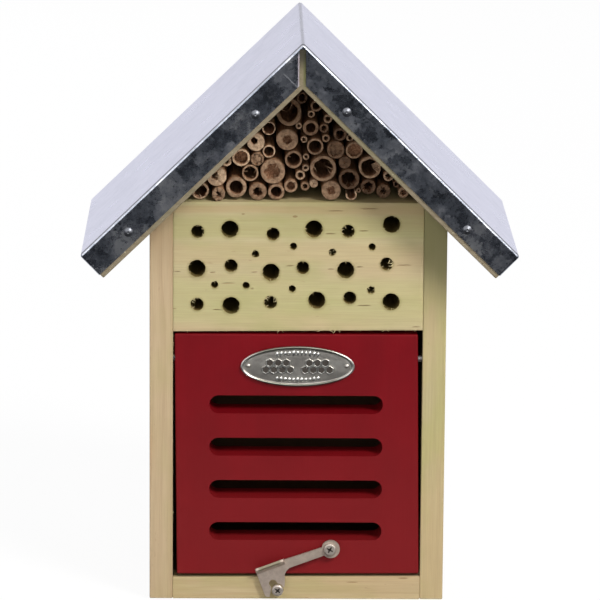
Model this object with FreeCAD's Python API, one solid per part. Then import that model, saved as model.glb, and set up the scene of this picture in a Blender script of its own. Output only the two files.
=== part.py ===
import FreeCAD, Part
import math
import os

# Insect hotel: a small gabled nesting box for solitary bees and butterflies.
# Millimetres. Origin: centre of the body's base footprint. +Z is up, the door
# faces -Y, +X is to the right when looking at the door. Heights below are taken
# from a datum DATUM above the underside; save() lifts every part by it.
# Points in an outline are (x, z) unless a comment says otherwise.

Vector = FreeCAD.Vector
os.makedirs("parts", exist_ok=True)

# ---------------------------------------------------------------- body sizes
DATUM = 1.0
BODY_HALF_W = 70.0          # outside half width of the body
BOARD_T = 11.0              # side boards
INNER_X = BODY_HALF_W - BOARD_T
Y_FRONT = -59.0             # front faces of the boards
Y_BACK = 59.0               # back face of the body
BACK_T = 9.0                # back board
Y_BACK_INNER = Y_BACK - BACK_T

BOTTOM_TOP_L = 9.6          # the bottom board is planed a little out of parallel
BOTTOM_TOP_R = 10.35

# ---------------------------------------------------------------- roof sizes
RIDGE_X = 1.3               # the roof sits a little off centre
RIDGE_Z = 270.0             # sharp corner of the folded roof sheet
SLOPE = {-1: math.radians(44.1), 1: math.radians(44.45)}    # left, right
COS = {side: math.cos(angle) for side, angle in SLOPE.items()}
SIN = {side: math.sin(angle) for side, angle in SLOPE.items()}
TAN = {side: math.tan(angle) for side, angle in SLOPE.items()}
ROOF_T = 15.3               # sheet and board together, square to the slope
SHEET_T = 0.5
EAVE_L_X = -102.1           # outer top corner of the left eave
EAVE_R_X = 103.0            # outer top corner of the right eave
SLOPE_LEN = {-1: (RIDGE_X - EAVE_L_X) / COS[-1], 1: (EAVE_R_X - RIDGE_X) / COS[1]}
ROOF_Y0 = -79.0
ROOF_Y1 = 61.0
FLANGE = 13.0               # turned-down edge of the sheet, square to the slope
BEND_R = 1.2                # outer bend radius along the eaves and gable edges
RIDGE_R = 1.5               # outer bend radius along the ridge
APEX_SLIT = 3.1             # gap between the two gable flanges at the ridge
SLIT_OFFSET = -0.15         # of the slit's centre from the ridge in X
SLIT_DROP = 0.9             # slit top below the bend
SLIT_H = 30.0

# ---------------------------------------------------------------- helpers
def line(start, end):
    return Part.LineSegment(start, end).toShape()


def arc(start, middle, end):
    return Part.Arc(start, middle, end).toShape()


def prism(points, y0, y1):
    """Solid from an XZ outline between y0 and y1."""
    corners = [Vector(x, y0, z) for x, z in points]
    face = Part.Face(Part.makePolygon(corners + [corners[0]]))
    return face.extrude(Vector(0, y1 - y0, 0))


def cylinder(radius, length, start, direction=(0, 1, 0)):
    return Part.makeCylinder(radius, length, Vector(*start), Vector(*direction))


def cone(radius0, radius1, length, start, direction=(0, 1, 0)):
    return Part.makeCone(radius0, radius1, length, Vector(*start), Vector(*direction))


def box(width, depth, height, x, y, z):
    """Box with its lowest corner at x, y, z."""
    return Part.makeBox(width, depth, height, Vector(x, y, z))


def one(shape):
    """The single solid of a boolean result."""
    cleaned = shape.removeSplitter()
    if len(cleaned.Solids) != 1:
        raise ValueError("expected one solid, got %d" % len(cleaned.Solids))
    return cleaned.Solids[0]


def rounded(shape, radius):
    return shape.makeFillet(radius, shape.Edges)


def rounded_plate(width, depth, height, x, y, z, radius):
    """Box with the four edges along Y rounded."""
    plate = box(width, depth, height, x, y, z)
    return plate.makeFillet(
        radius, [e for e in plate.Edges if abs(e.BoundBox.YLength - depth) < 1e-4])


def cut_all(shape, tools):
    """Cut the tools whose bounding boxes meet the shape's."""
    bounds = shape.BoundBox
    near = [tool for tool in tools if bounds.intersect(tool.BoundBox)]
    return shape.cut(near) if near else shape


def middle(edge):
    return edge.valueAt((edge.FirstParameter + edge.LastParameter) / 2)


def save(name, shapes):
    """Lift a solid, or a list of them, by the datum and write its STEP file."""
    if not isinstance(shapes, (list, tuple)):
        shapes = [shapes]
    solids = [solid for shape in shapes for solid in shape.Solids]
    shape = solids[0] if len(solids) == 1 else Part.makeCompound(solids)
    shape = shape.copy()
    shape.translate(Vector(0, 0, DATUM))
    if not shape.isValid():
        raise ValueError("%s is not valid" % name)
    shape.exportStep("parts/%s.step" % name)


# ---------------------------------------------------------------- fixings
def nail(start, direction, length, radius=1.0, head_radius=2.1, head_height=1.0):
    """Nail with its head's outer face at start, driven along direction."""
    start = Vector(*start)
    direction = Vector(*direction).normalize()
    tip_length = 1.2
    tip_start = start + direction * (length - tip_length)
    shank = Part.makeCylinder(radius, length - tip_length, start, direction)
    tip = Part.makeCone(radius, 0.15, tip_length, tip_start, direction)
    head = Part.makeCone(head_radius, radius, head_height, start, direction)
    return one(shank.fuse([tip, head]))


def recess_bar(length, depth, width, y_start, angle, centre):
    """Bar of a cross recess: starts y_start from centre, turned about Y."""
    bar = box(length, depth, width, -length / 2, y_start, -width / 2)
    bar.rotate(Vector(0, 0, 0), Vector(0, 1, 0), angle)
    bar.translate(Vector(*centre))
    return bar


def pan_head(x, y, z, radius, height, cross_angle):
    """Pan head facing -Y with a cross recess; x, y, z is the centre of its seat."""
    top_y = y - height
    head = cylinder(radius, height, (x, y, z), (0, -1, 0))
    rim = [e for e in head.Edges
           if abs(e.BoundBox.YMin - top_y) < 1e-6 and abs(e.BoundBox.YMax - top_y) < 1e-6]
    head = head.makeFillet(height * 0.55, rim)
    depth = height * 0.62
    for angle in (cross_angle, cross_angle + 90):
        head = head.cut(recess_bar(radius * 1.06, depth, 0.62, -depth, angle,
                                   (x, top_y + height * 0.60, z)))
    pit = cone(0.75, 0.25, height * 0.66, (x, top_y - 0.01, z))
    return one(head.cut(pit))


# ---------------------------------------------------------------- roof frame
def under(x):
    """Height of the roof's underside at x."""
    side = 1 if x > RIDGE_X else -1
    return RIDGE_Z - ROOF_T / COS[side] - abs(x - RIDGE_X) * TAN[side]


def ridge(depth):
    """Point (x, z) where the two slopes meet at a depth below the outer face."""
    shift = (depth / COS[-1] - depth / COS[1]) / (TAN[-1] + TAN[1])
    return (RIDGE_X + shift, RIDGE_Z - depth / COS[-1] + shift * TAN[-1])


def at(side, down, depth):
    """Point (x, z) on a slope: down from the ridge, depth below the outer face."""
    return (RIDGE_X + side * (down * COS[side] - depth * SIN[side]),
            RIDGE_Z - down * SIN[side] - depth * COS[side])


def slope_place(point):
    """(down, depth) of a point on the slope it belongs to: the inverse of at()."""
    side = 1 if point.x > RIDGE_X else -1
    across = side * (point.x - RIDGE_X)
    drop = RIDGE_Z - point.z
    return (across * COS[side] + drop * SIN[side],
            -across * SIN[side] + drop * COS[side])


def chevron(depth0, depth1, eave_cut, y0, y1):
    """Folded band between two depths, shortened by eave_cut at each eave."""
    right = SLOPE_LEN[1] - eave_cut
    left = SLOPE_LEN[-1] - eave_cut
    return prism([ridge(depth0), at(1, right, depth0), at(1, right, depth1),
                  ridge(depth1), at(-1, left, depth1), at(-1, left, depth0)], y0, y1)


# ---------------------------------------------------------------- roof
def is_top_ridge(edge):
    bounds = edge.BoundBox
    return (abs(bounds.XMin - RIDGE_X) < 0.2 and abs(bounds.XMax - RIDGE_X) < 0.2
            and bounds.YMax - bounds.YMin > 50 and bounds.ZMax > RIDGE_Z - 3.0)


def upper_edges(shape, inset):
    """Edges of the outer face's rim: gable edges, eaves and eave corners."""
    found = []
    for edge in shape.Edges:
        point = middle(edge)
        side = 1 if point.x > RIDGE_X else -1
        down, depth = slope_place(point)
        at_gable = (abs(point.y - (ROOF_Y0 + inset)) < 1e-3
                    or abs(point.y - (ROOF_Y1 - inset)) < 1e-3)
        at_eave = abs(down - (SLOPE_LEN[side] - inset)) < 1e-3
        at_top = abs(depth - inset) < 1e-3
        near_ridge = abs(point.x - RIDGE_X) < 3.0 and point.z > RIDGE_Z - 4.0
        if (at_top and (at_gable or at_eave)) or (at_gable and (at_eave or near_ridge)):
            found.append(edge)
    return found


def roof_form(inset):
    """Rounded solid roof, its outer faces set in from the sheet's outside."""
    form = chevron(inset, ROOF_T, inset, ROOF_Y0 + inset, ROOF_Y1 - inset)
    form = form.makeFillet(RIDGE_R - inset, [e for e in form.Edges if is_top_ridge(e)])
    return form.makeFillet(BEND_R - inset, upper_edges(form, inset))


def make_roof_sheet(core):
    sheet = roof_form(0.0).cut(core)
    # the turned-down edges stop short of the boards' undersides
    sheet = sheet.cut(chevron(FLANGE, FLANGE + 40, -20, ROOF_Y0 - 5, ROOF_Y1 + 5))
    # slit between the flanges under the ridge, front and back
    slit_x = RIDGE_X + SLIT_OFFSET - APEX_SLIT / 2
    slit_z = RIDGE_Z - BEND_R / COS[-1] - SLIT_DROP - SLIT_H
    for y0, y1 in ((ROOF_Y0 - 1, ROOF_Y0 + SHEET_T + 0.001),
                   (ROOF_Y1 - SHEET_T - 0.001, ROOF_Y1 + 1)):
        sheet = sheet.cut(box(APEX_SLIT, y1 - y0, SLIT_H, slit_x, y0, slit_z))
    return one(sheet)


def make_roof_board(core, side):
    """Half of the core, split in the ridge plane, with its lower rim rounded."""
    size = 400.0
    half = box(size, size, 2 * size, RIDGE_X if side > 0 else RIDGE_X - size, -size / 2, -size)
    board = one(core.common(half))
    lower_rim = []
    for edge in board.Edges:
        point = middle(edge)
        depth = slope_place(point)[1]
        if abs(depth - ROOF_T) < 1e-3 and abs(point.x - RIDGE_X) > 1.0:
            lower_rim.append(edge)
    return board.makeFillet(0.5, lower_rim)


roof_core = roof_form(SHEET_T)
sheet = make_roof_sheet(roof_core)
roof_l = make_roof_board(roof_core, -1)
roof_r = make_roof_board(roof_core, 1)


# ---------------------------------------------------------------- body boards
def make_side_board(x0, x1):
    return rounded(prism([(x0, -DATUM), (x1, -DATUM), (x1, under(x1)), (x0, under(x0))],
                         Y_FRONT, Y_BACK), 0.6)


side_l = make_side_board(-BODY_HALF_W, -INNER_X)
side_r = make_side_board(INNER_X, BODY_HALF_W)
bottom = rounded(prism([(-INNER_X, -DATUM), (INNER_X, -DATUM), (INNER_X, BOTTOM_TOP_R),
                        (-INNER_X, BOTTOM_TOP_L)], Y_FRONT, Y_BACK_INNER), 0.4)
back = rounded(prism([(-INNER_X, -DATUM), (INNER_X, -DATUM), (INNER_X, under(INNER_X)),
                      ridge(ROOF_T), (-INNER_X, under(-INNER_X))], Y_BACK_INNER, Y_BACK), 0.4)

# ---------------------------------------------------------------- nesting block
BLOCK_Z0_L = 129.55         # the underside is out of parallel
BLOCK_Z0_R = 130.6
BLOCK_Z1 = 192.0
HOLE_DEPTH = 75.0
SMALL_HOLE_DEPTH = 40.0     # for holes up to 2 mm radius
DRILL_START = Y_FRONT - 1
# x, z, radius
NEST_HOLES = [
    (-47.4, 177.7, 3.0), (-32.3, 178.9, 4.0), (-12.0, 176.7, 3.0),
    (7.2, 179.2, 4.0), (23.3, 178.2, 3.0), (43.7, 181.6, 4.0),
    (-47.7, 160.0, 4.0), (-31.7, 161.4, 3.0), (-12.9, 158.4, 4.0),
    (2.1, 160.6, 3.0), (22.3, 159.6, 4.0), (41.5, 162.6, 3.0),
    (-47.6, 142.8, 3.0), (-31.6, 142.3, 4.0), (-13.0, 143.9, 3.0),
    (8.8, 145.0, 4.0), (24.3, 146.2, 3.0), (43.8, 144.4, 4.0),
    (-20.2, 167.1, 1.6), (-2.4, 170.9, 1.6), (15.9, 168.1, 1.6),
    (34.6, 170.8, 1.6), (-39.4, 152.3, 1.6), (-24.6, 152.0, 1.6),
    (-2.8, 150.5, 1.6), (34.3, 150.0, 1.6)]


def make_nest_block():
    # the left roof board cuts off the block's top left corner
    cut_x = RIDGE_X - (RIDGE_Z - ROOF_T / COS[-1] - BLOCK_Z1) / TAN[-1]
    block = rounded(prism([(-INNER_X, BLOCK_Z0_L), (INNER_X, BLOCK_Z0_R), (INNER_X, BLOCK_Z1),
                           (cut_x, BLOCK_Z1), (-INNER_X, under(-INNER_X))],
                          Y_FRONT, Y_BACK_INNER), 0.5)
    for x, z, radius in NEST_HOLES:
        depth = HOLE_DEPTH if radius > 2 else SMALL_HOLE_DEPTH
        drill = cylinder(radius, depth, (x, DRILL_START, z))
        drill = drill.fuse(cone(radius, 0.0, radius * 0.6, (x, DRILL_START + depth, z)))
        block = block.cut(drill)
    return block


block = make_nest_block()

# ---------------------------------------------------------------- door
DOOR_T = 12.0
# hand-cut, a little out of square: top left, top right, bottom right, bottom left
DOOR_OUTLINE = [(-58.2, 128.5), (56.7, 128.5), (58.4, 11.65), (-57.0, 11.15)]
SLOT_X0 = -41.7
SLOT_X1 = 40.5
SLOT_HALF_H = 4.4
SLOT_TOP_Z = 94.4
SLOT_PITCH = 20.65
SLOT_COUNT = 4
SLOT_CLIMB = math.tan(math.radians(8.0))    # the slots climb towards the back
SLOT_OVERRUN = 2            # cutter beyond each face of the door


def slot_cutter(slot_z):
    """Stadium slot, sheared so that it climbs towards the back."""
    y = Y_FRONT - SLOT_OVERRUN
    z = slot_z - SLOT_OVERRUN * SLOT_CLIMB
    x0, x1 = SLOT_X0 + SLOT_HALF_H, SLOT_X1 - SLOT_HALF_H
    low_l, low_r = Vector(x0, y, z - SLOT_HALF_H), Vector(x1, y, z - SLOT_HALF_H)
    top_l, top_r = Vector(x0, y, z + SLOT_HALF_H), Vector(x1, y, z + SLOT_HALF_H)
    outline = Part.Wire([
        line(low_l, low_r), arc(low_r, Vector(SLOT_X1, y, z), top_r),
        line(top_r, top_l), arc(top_l, Vector(SLOT_X0, y, z), low_l)])
    depth = DOOR_T + 2 * SLOT_OVERRUN
    return Part.Face(outline).extrude(Vector(0, depth, depth * SLOT_CLIMB))


door = rounded(prism(DOOR_OUTLINE, Y_FRONT, Y_FRONT + DOOR_T), 0.8)
for i in range(SLOT_COUNT):
    door = door.cut(slot_cutter(SLOT_TOP_Z - i * SLOT_PITCH))

# ---------------------------------------------------------------- badge
BADGE_X, BADGE_Z = 0.0, 113.1
BADGE_A, BADGE_B = 27.0, 9.75       # half axes
BADGE_T = 0.8
BADGE_FACE_Y = Y_FRONT - BADGE_T    # sunk face inside the rim
BADGE_RIM_H = 1.5
BADGE_RIM_W = 1.3
RELIEF = 0.45
HEX_R = 2.55
HEX_WALL = 0.7                      # taken off the corner radius
HEX_PITCH = 4.7
HEX_GROUP_X = 9.4
BEAD_R = 0.6
BEAD_PITCH = 1.95
PIN_X = 23.3
PIN_Z = BADGE_Z + 0.2
PIN_R = 0.6
PIN_DEPTH = 7.0


def ellipse_face(half_a, half_b, y):
    ellipse = Part.Ellipse(Vector(BADGE_X, y, BADGE_Z), half_a, half_b)
    ellipse.Axis = Vector(0, -1, 0)
    ellipse.XAxis = Vector(1, 0, 0)
    return Part.Face(Part.Wire([ellipse.toShape()]))


def hexagon(x, z, radius):
    angles = [math.radians(60 * i + 30) for i in range(6)]
    return [(x + radius * math.cos(a), z + radius * math.sin(a)) for a in angles]


def make_badge():
    """Oval plate with a raised rim, two groups of hexagon cells and rows of beads."""
    badge = ellipse_face(BADGE_A, BADGE_B, Y_FRONT).extrude(Vector(0, -BADGE_RIM_H, 0))
    rim = [e for e in badge.Edges
           if e.BoundBox.YMax < Y_FRONT - BADGE_RIM_H + 1e-4 and e.BoundBox.XMax > 20]
    badge = badge.makeFillet(0.45, rim)
    badge = badge.cut(ellipse_face(BADGE_A - BADGE_RIM_W, BADGE_B - BADGE_RIM_W,
                                   BADGE_FACE_Y).extrude(Vector(0, -2, 0)))
    for group_x in (-HEX_GROUP_X, HEX_GROUP_X):
        for dx, dz in ((-HEX_PITCH / 2, -1.36), (HEX_PITCH / 2, -1.36), (0.0, 2.71)):
            x, z = BADGE_X + group_x + dx, BADGE_Z + dz
            ring = prism(hexagon(x, z, HEX_R), BADGE_FACE_Y + 0.1, BADGE_FACE_Y - RELIEF)
            ring = ring.cut(prism(hexagon(x, z, HEX_R - HEX_WALL), Y_FRONT, Y_FRONT - 4))
            badge = badge.fuse(ring)
    for i in range(-5, 6):
        x = BADGE_X + i * BEAD_PITCH
        for side in (-1, 1):
            z = BADGE_Z + side * (6.5 - 0.026 * i ** 2)
            bead = Part.makeSphere(BEAD_R, Vector(x, BADGE_FACE_Y, z))
            bead = bead.common(box(2, 2, 2, x - 1, BADGE_FACE_Y - 1.95, z - 1))
            badge = badge.fuse(bead)
    return badge


def make_badge_pin(x):
    shank = cylinder(PIN_R, PIN_DEPTH + BADGE_T, (x, BADGE_FACE_Y, PIN_Z))
    dome = Part.makeSphere(1.25, Vector(x, BADGE_FACE_Y + 0.55, PIN_Z))
    dome = dome.common(box(4, 4, 4, x - 2, BADGE_FACE_Y - 4, PIN_Z - 2))
    return one(shank.fuse(dome))


badge = make_badge()
badge_pins = []
for side in (-1, 1):
    pin_x = BADGE_X + side * PIN_X
    badge_pins.append(make_badge_pin(pin_x))
    badge = badge.cut(cylinder(PIN_R, 4, (pin_x, Y_FRONT - 3, PIN_Z)))
    door = door.cut(cylinder(PIN_R, PIN_DEPTH, (pin_x, Y_FRONT, PIN_Z)))
badge = one(badge)

# ---------------------------------------------------------------- latch
HOOK_T = 1.2
HOOK_Y1 = -60.5             # back face of the latch hook
HOOK_Y0 = HOOK_Y1 - HOOK_T
HOOK_GAP = 0.1
LATCH_PIVOT = (15.9, 24.3)
EYE_R = 4.35
EYE_DX = 0.4                # the eye's rim is a little off centre to its hole
EYE_BORE_R = 1.58
ARM_ROOT = (-4.6, 17.0)     # where the arm's centre line meets the hook
ARM_HALF_W_HOOK = 2.25
ARM_HALF_W_EYE = 1.98
CATCH = (-8.9, 4.1)         # catch screw
MOUTH_R = 3.15
SLOT_END = (-11.1, 7.3)     # closed end of the hook's slot
HOOK_SLOT_R = 1.9
TOP_L = (-19.8, 14.6)       # ends of the hook's top edge
TOP_R = (-6.2, 19.7)
# lower outline of the hook, from the arm round to the left
HOOK_LOWER = [(-3.25, 15.05), (-4.6, 13.7), (-5.5, 11.8), (-5.4, 8.0), (-5.8, 4.4),
              (-10.0, 0.9), (-12.9, 0.7), (-14.1, 0.7), (-14.9, 1.5)]
LIP_H = 3.0                 # thumb lip turned out along the hook's top edge
LIP_ANGLE = math.radians(48.0)
LIP_TOP = 0.2               # the flare's upper edge, across the line TOP_L-TOP_R
BEND_INNER = 0.8
BEND_OUTER = BEND_INNER + HOOK_T
# where the bend starts, across the same line
BEND_START = LIP_TOP - BEND_OUTER * math.sin(LIP_ANGLE) - LIP_H * math.cos(LIP_ANGLE)
SCREW_R = 1.5
SCREW_HEAD_H = 1.5
SEAT_Y = HOOK_Y0 - HOOK_GAP     # underside of the screw heads


def unit(start, end):
    """Unit direction (x, z) from start to end."""
    dx, dz = end[0] - start[0], end[1] - start[1]
    length = math.hypot(dx, dz)
    return (dx / length, dz / length)


def offset(point, direction, along, across):
    """Point moved along a unit direction and across it, to its left seen from -Y."""
    return (point[0] + along * direction[0] - across * direction[1],
            point[1] + along * direction[1] + across * direction[0])


TOP_DIR = unit(TOP_L, TOP_R)


def lip_point(across, y):
    x, z = offset(TOP_L, TOP_DIR, 0, across)
    return Vector(x, y, z)


def bend_point(radius, angle, flare=0.0):
    """Point at radius and angle round the bend, then a distance along the flare."""
    along_y, across = math.sin(LIP_ANGLE), math.cos(LIP_ANGLE)
    return lip_point(BEND_START + radius * math.sin(angle) + flare * across,
                     HOOK_Y0 - BEND_INNER + radius * math.cos(angle) - flare * along_y)


def make_lip():
    """Strip of the top edge, flared outwards and up, with rounded free corners."""
    root = BEND_START - 2.0
    back_root, front_root = lip_point(root, HOOK_Y1), lip_point(root, HOOK_Y0)
    back_start, front_start = lip_point(BEND_START, HOOK_Y1), lip_point(BEND_START, HOOK_Y0)
    back_end, front_end = (bend_point(r, LIP_ANGLE) for r in (BEND_OUTER, BEND_INNER))
    back_tip, front_tip = (bend_point(r, LIP_ANGLE, LIP_H) for r in (BEND_OUTER, BEND_INNER))
    profile = Part.Wire([
        line(back_root, back_start),
        arc(back_start, bend_point(BEND_OUTER, LIP_ANGLE / 2), back_end),
        line(back_end, back_tip), line(back_tip, front_tip), line(front_tip, front_end),
        arc(front_end, bend_point(BEND_INNER, LIP_ANGLE / 2), front_start),
        line(front_start, front_root), line(front_root, back_root)])
    lip = Part.Face(profile).extrude(Vector(TOP_R[0] - TOP_L[0], 0, TOP_R[1] - TOP_L[1]))
    corners = [e for e in lip.Edges
               if abs(e.Length - HOOK_T) < 0.01
               and all(v.Point.y < HOOK_Y0 - 1.0 for v in e.Vertexes)]
    return lip.makeFillet(0.9, corners)


def make_hook():
    arm_dir = unit(ARM_ROOT, LATCH_PIVOT)
    eye_x, eye_z = LATCH_PIVOT
    hook = prism([TOP_L, TOP_R, (-5.85, 18.9),
                  offset(ARM_ROOT, arm_dir, 0, ARM_HALF_W_HOOK),
                  offset(LATCH_PIVOT, arm_dir, -1.5, ARM_HALF_W_EYE),
                  offset(LATCH_PIVOT, arm_dir, -1.5, -ARM_HALF_W_EYE)] + HOOK_LOWER,
                 HOOK_Y0, HOOK_Y1)
    hook = one(hook.fuse(cylinder(EYE_R, HOOK_T, (eye_x + EYE_DX, HOOK_Y0, eye_z))))
    # slot and mouth
    cut_y0, cut_y1 = HOOK_Y0 - 2, HOOK_Y0 + 4
    slot_dir = unit(CATCH, SLOT_END)
    hook = hook.cut(cylinder(HOOK_SLOT_R, 6, (SLOT_END[0], cut_y0, SLOT_END[1])))
    hook = hook.cut(prism([
        offset(SLOT_END, slot_dir, 0, HOOK_SLOT_R), offset(CATCH, slot_dir, 0, HOOK_SLOT_R),
        offset(CATCH, slot_dir, 0, -HOOK_SLOT_R), offset(SLOT_END, slot_dir, 0, -HOOK_SLOT_R)],
        cut_y0, cut_y1))
    hook = hook.cut(cylinder(MOUTH_R, 6, (CATCH[0], cut_y0, CATCH[1])))
    hook = hook.cut(prism([
        (CATCH[0] - MOUTH_R, CATCH[1]), (-12.75, 0.0), (-12.8, -4.0), (0.0, -4.0), (0.0, 1.0),
        (-5.0, 4.6), (CATCH[0] + MOUTH_R * 0.86, CATCH[1] + MOUTH_R * 0.51), CATCH],
        cut_y0, cut_y1))
    hook = one(hook)
    # the flat plate stops where the bend starts
    trim = prism([
        offset(TOP_L, TOP_DIR, -5, BEND_START), offset(TOP_R, TOP_DIR, 0, BEND_START),
        offset(TOP_R, TOP_DIR, 0, 5), offset(TOP_L, TOP_DIR, -5, 5)], HOOK_Y0 - 1, HOOK_Y0 + 3)
    hook = one(hook.cut(trim).fuse(make_lip()))
    return one(hook.cut(cylinder(EYE_BORE_R, 6, (eye_x, cut_y0, eye_z))))


def make_washer():
    x, z = LATCH_PIVOT
    thickness = Y_FRONT - (HOOK_Y1 + HOOK_GAP)
    washer = cylinder(3.4, thickness, (x, Y_FRONT, z), (0, -1, 0))
    return one(washer.cut(cylinder(SCREW_R, 10, (x, Y_FRONT + 2, z), (0, -1, 0))))


def make_latch_screw(place, head_radius, cross_angle, depth, tip_length):
    """Pan-head screw and the tool for its hole; depth is to the start of the tip."""
    x, z = place
    head = pan_head(x, SEAT_Y, z, head_radius, SCREW_HEAD_H, cross_angle)
    shank = cylinder(SCREW_R, depth - SEAT_Y + Y_FRONT, (x, SEAT_Y, z))
    tip = cone(SCREW_R, 0.4, tip_length, (x, Y_FRONT + depth, z))
    hole = cylinder(SCREW_R, depth, (x, Y_FRONT, z)).fuse(tip)
    return one(head.fuse([shank, tip])), hole


hook = make_hook()
washer = make_washer()
latch_screw, latch_hole = make_latch_screw(
    LATCH_PIVOT, head_radius=3.0, cross_angle=28, depth=9.0, tip_length=1.5)
door = door.cut(latch_hole)
catch_screw, catch_hole = make_latch_screw(
    CATCH, head_radius=2.75, cross_angle=40, depth=13.0, tip_length=2.0)
bottom = bottom.cut(catch_hole)

# ---------------------------------------------------------------- nails
# y, z, length of the nails through each side board
SIDE_NAILS = [(-40, 4.6, 30), (28, 4.6, 30), (-38, 151.6, 25), (32, 168.8, 25),
              (54.5, 40, 30), (54.5, 110, 30), (54.5, 165, 30)]
# y, distance down from the ridge, length of the nails through each roof board
ROOF_NAILS = [(-35, 98.5, 27.0), (28, 98.5, 27.0), (54.5, 66.0, 30.0), (54.5, 28.0, 30.0)]
# side, distance down from the ridge, depth of the nails through the gable flanges
GABLE_NAILS = [(-1, 119.8, 7.65), (-1, 38.8, 8.7), (1, 36.9, 8.5), (1, 115.9, 8.3)]
PIVOT_Z = 115.6             # door pivot line
PIVOT_Y = Y_FRONT + DOOR_T / 2.0
PIVOT_BORE_R = 1.65


def make_clout_nail(x, y, z, inward):
    """Domed nail driven along Y (inward is 1 or -1), dimpled on its head."""
    length = 13.0
    shank = cylinder(0.9, length, (x, y, z), (0, inward, 0))
    tip = cone(0.9, 0.15, 1.2, (x, y + inward * length, z), (0, inward, 0))
    ball = Part.makeSphere(2.9, Vector(x, y + inward * 1.9, z))
    dome = ball.common(box(8, 3, 8, x - 4, y - 3 if inward > 0 else y, z - 4))
    dimple = Part.makeSphere(0.7, Vector(x, y - inward * 1.3, z))
    return one(shank.fuse([tip, dome]).cut(dimple))


side_nails = [nail((side * BODY_HALF_W, y, z), (-side, 0, 0), length)
              for side in (-1, 1) for y, z, length in SIDE_NAILS]
side_l, side_r, bottom, block, back = (
    cut_all(board, side_nails) for board in (side_l, side_r, bottom, block, back))

pivots = []
for side in (-1, 1):
    pivots.append(nail((side * BODY_HALF_W, PIVOT_Y, PIVOT_Z), (-side, 0, 0),
                       length=28.0, radius=1.6, head_radius=2.9, head_height=1.2))
    door = door.cut(cylinder(PIVOT_BORE_R, 20.0, (side * 61.5, PIVOT_Y, PIVOT_Z), (-side, 0, 0)))
side_l, side_r = (cut_all(board, pivots) for board in (side_l, side_r))

roof_nails = []
for side in (-1, 1):
    for y, down, length in ROOF_NAILS:
        x, z = at(side, down, SHEET_T)
        roof_nails.append(nail((x, y, z), (-side * SIN[side], 0, -COS[side]), length))
roof_l, roof_r, side_l, side_r, back, block = (
    cut_all(board, roof_nails) for board in (roof_l, roof_r, side_l, side_r, back, block))

sheet_nails = []
for side, down, depth in GABLE_NAILS:
    x, z = at(side, down, depth)
    for y, inward in ((ROOF_Y0, 1), (ROOF_Y1, -1)):
        sheet_nails.append(make_clout_nail(x, y, z, inward))
sheet, roof_l, roof_r = (
    one(cut_all(shape, sheet_nails)) for shape in (sheet, roof_l, roof_r))

# ---------------------------------------------------------------- hanger
HANG_Z = 205.0              # entry hole of the keyhole plate
HANG_R = 4.0
HANG_SLOT_R = 2.0
HANG_RISE = 9.0
HANG_T = 1.2
HANG_W = 18.0
POCKET_W = 11.0             # pocket in the back board behind the keyhole
POCKET_DEPTH = 6.0


def make_hanger_plate():
    hole_y = Y_BACK - 2
    plate = rounded_plate(HANG_W, HANG_T, 38.0, -HANG_W / 2, Y_BACK, HANG_Z - 14.0, radius=3.0)
    plate = plate.cut(cylinder(HANG_R, 6, (0, hole_y, HANG_Z)))
    plate = plate.cut(box(2 * HANG_SLOT_R, 6, HANG_RISE, -HANG_SLOT_R, hole_y, HANG_Z))
    return plate.cut(cylinder(HANG_SLOT_R, 6, (0, hole_y, HANG_Z + HANG_RISE)))


def make_hanger_screw(z):
    """Countersunk screw driven along -Y, before its recess is cut."""
    y = Y_BACK + HANG_T
    forward = (0, -1, 0)
    head = cone(2.4, 1.2, 1.2, (0, y, z), forward)
    shank = cylinder(1.2, 6.0, (0, y, z), forward)
    tip = cone(1.2, 0.2, 1.5, (0, y - 6.0, z), forward)
    return head.fuse([shank, tip])


hanger = make_hanger_plate()
back = back.cut(rounded_plate(POCKET_W, POCKET_DEPTH, 20.0, -POCKET_W / 2,
                              Y_BACK - POCKET_DEPTH, HANG_Z - 5.5, radius=2.5))
hanger_screws = []
for z in (HANG_Z - 10.0, HANG_Z + 20.0):
    screw = make_hanger_screw(z)
    hanger = hanger.cut(screw)
    back = back.cut(screw)
    for angle in (20, 110):
        screw = screw.cut(recess_bar(2.6, 1.4, 0.55, -0.7, angle, (0, Y_BACK + HANG_T, z)))
    hanger_screws.append(one(screw))

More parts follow.
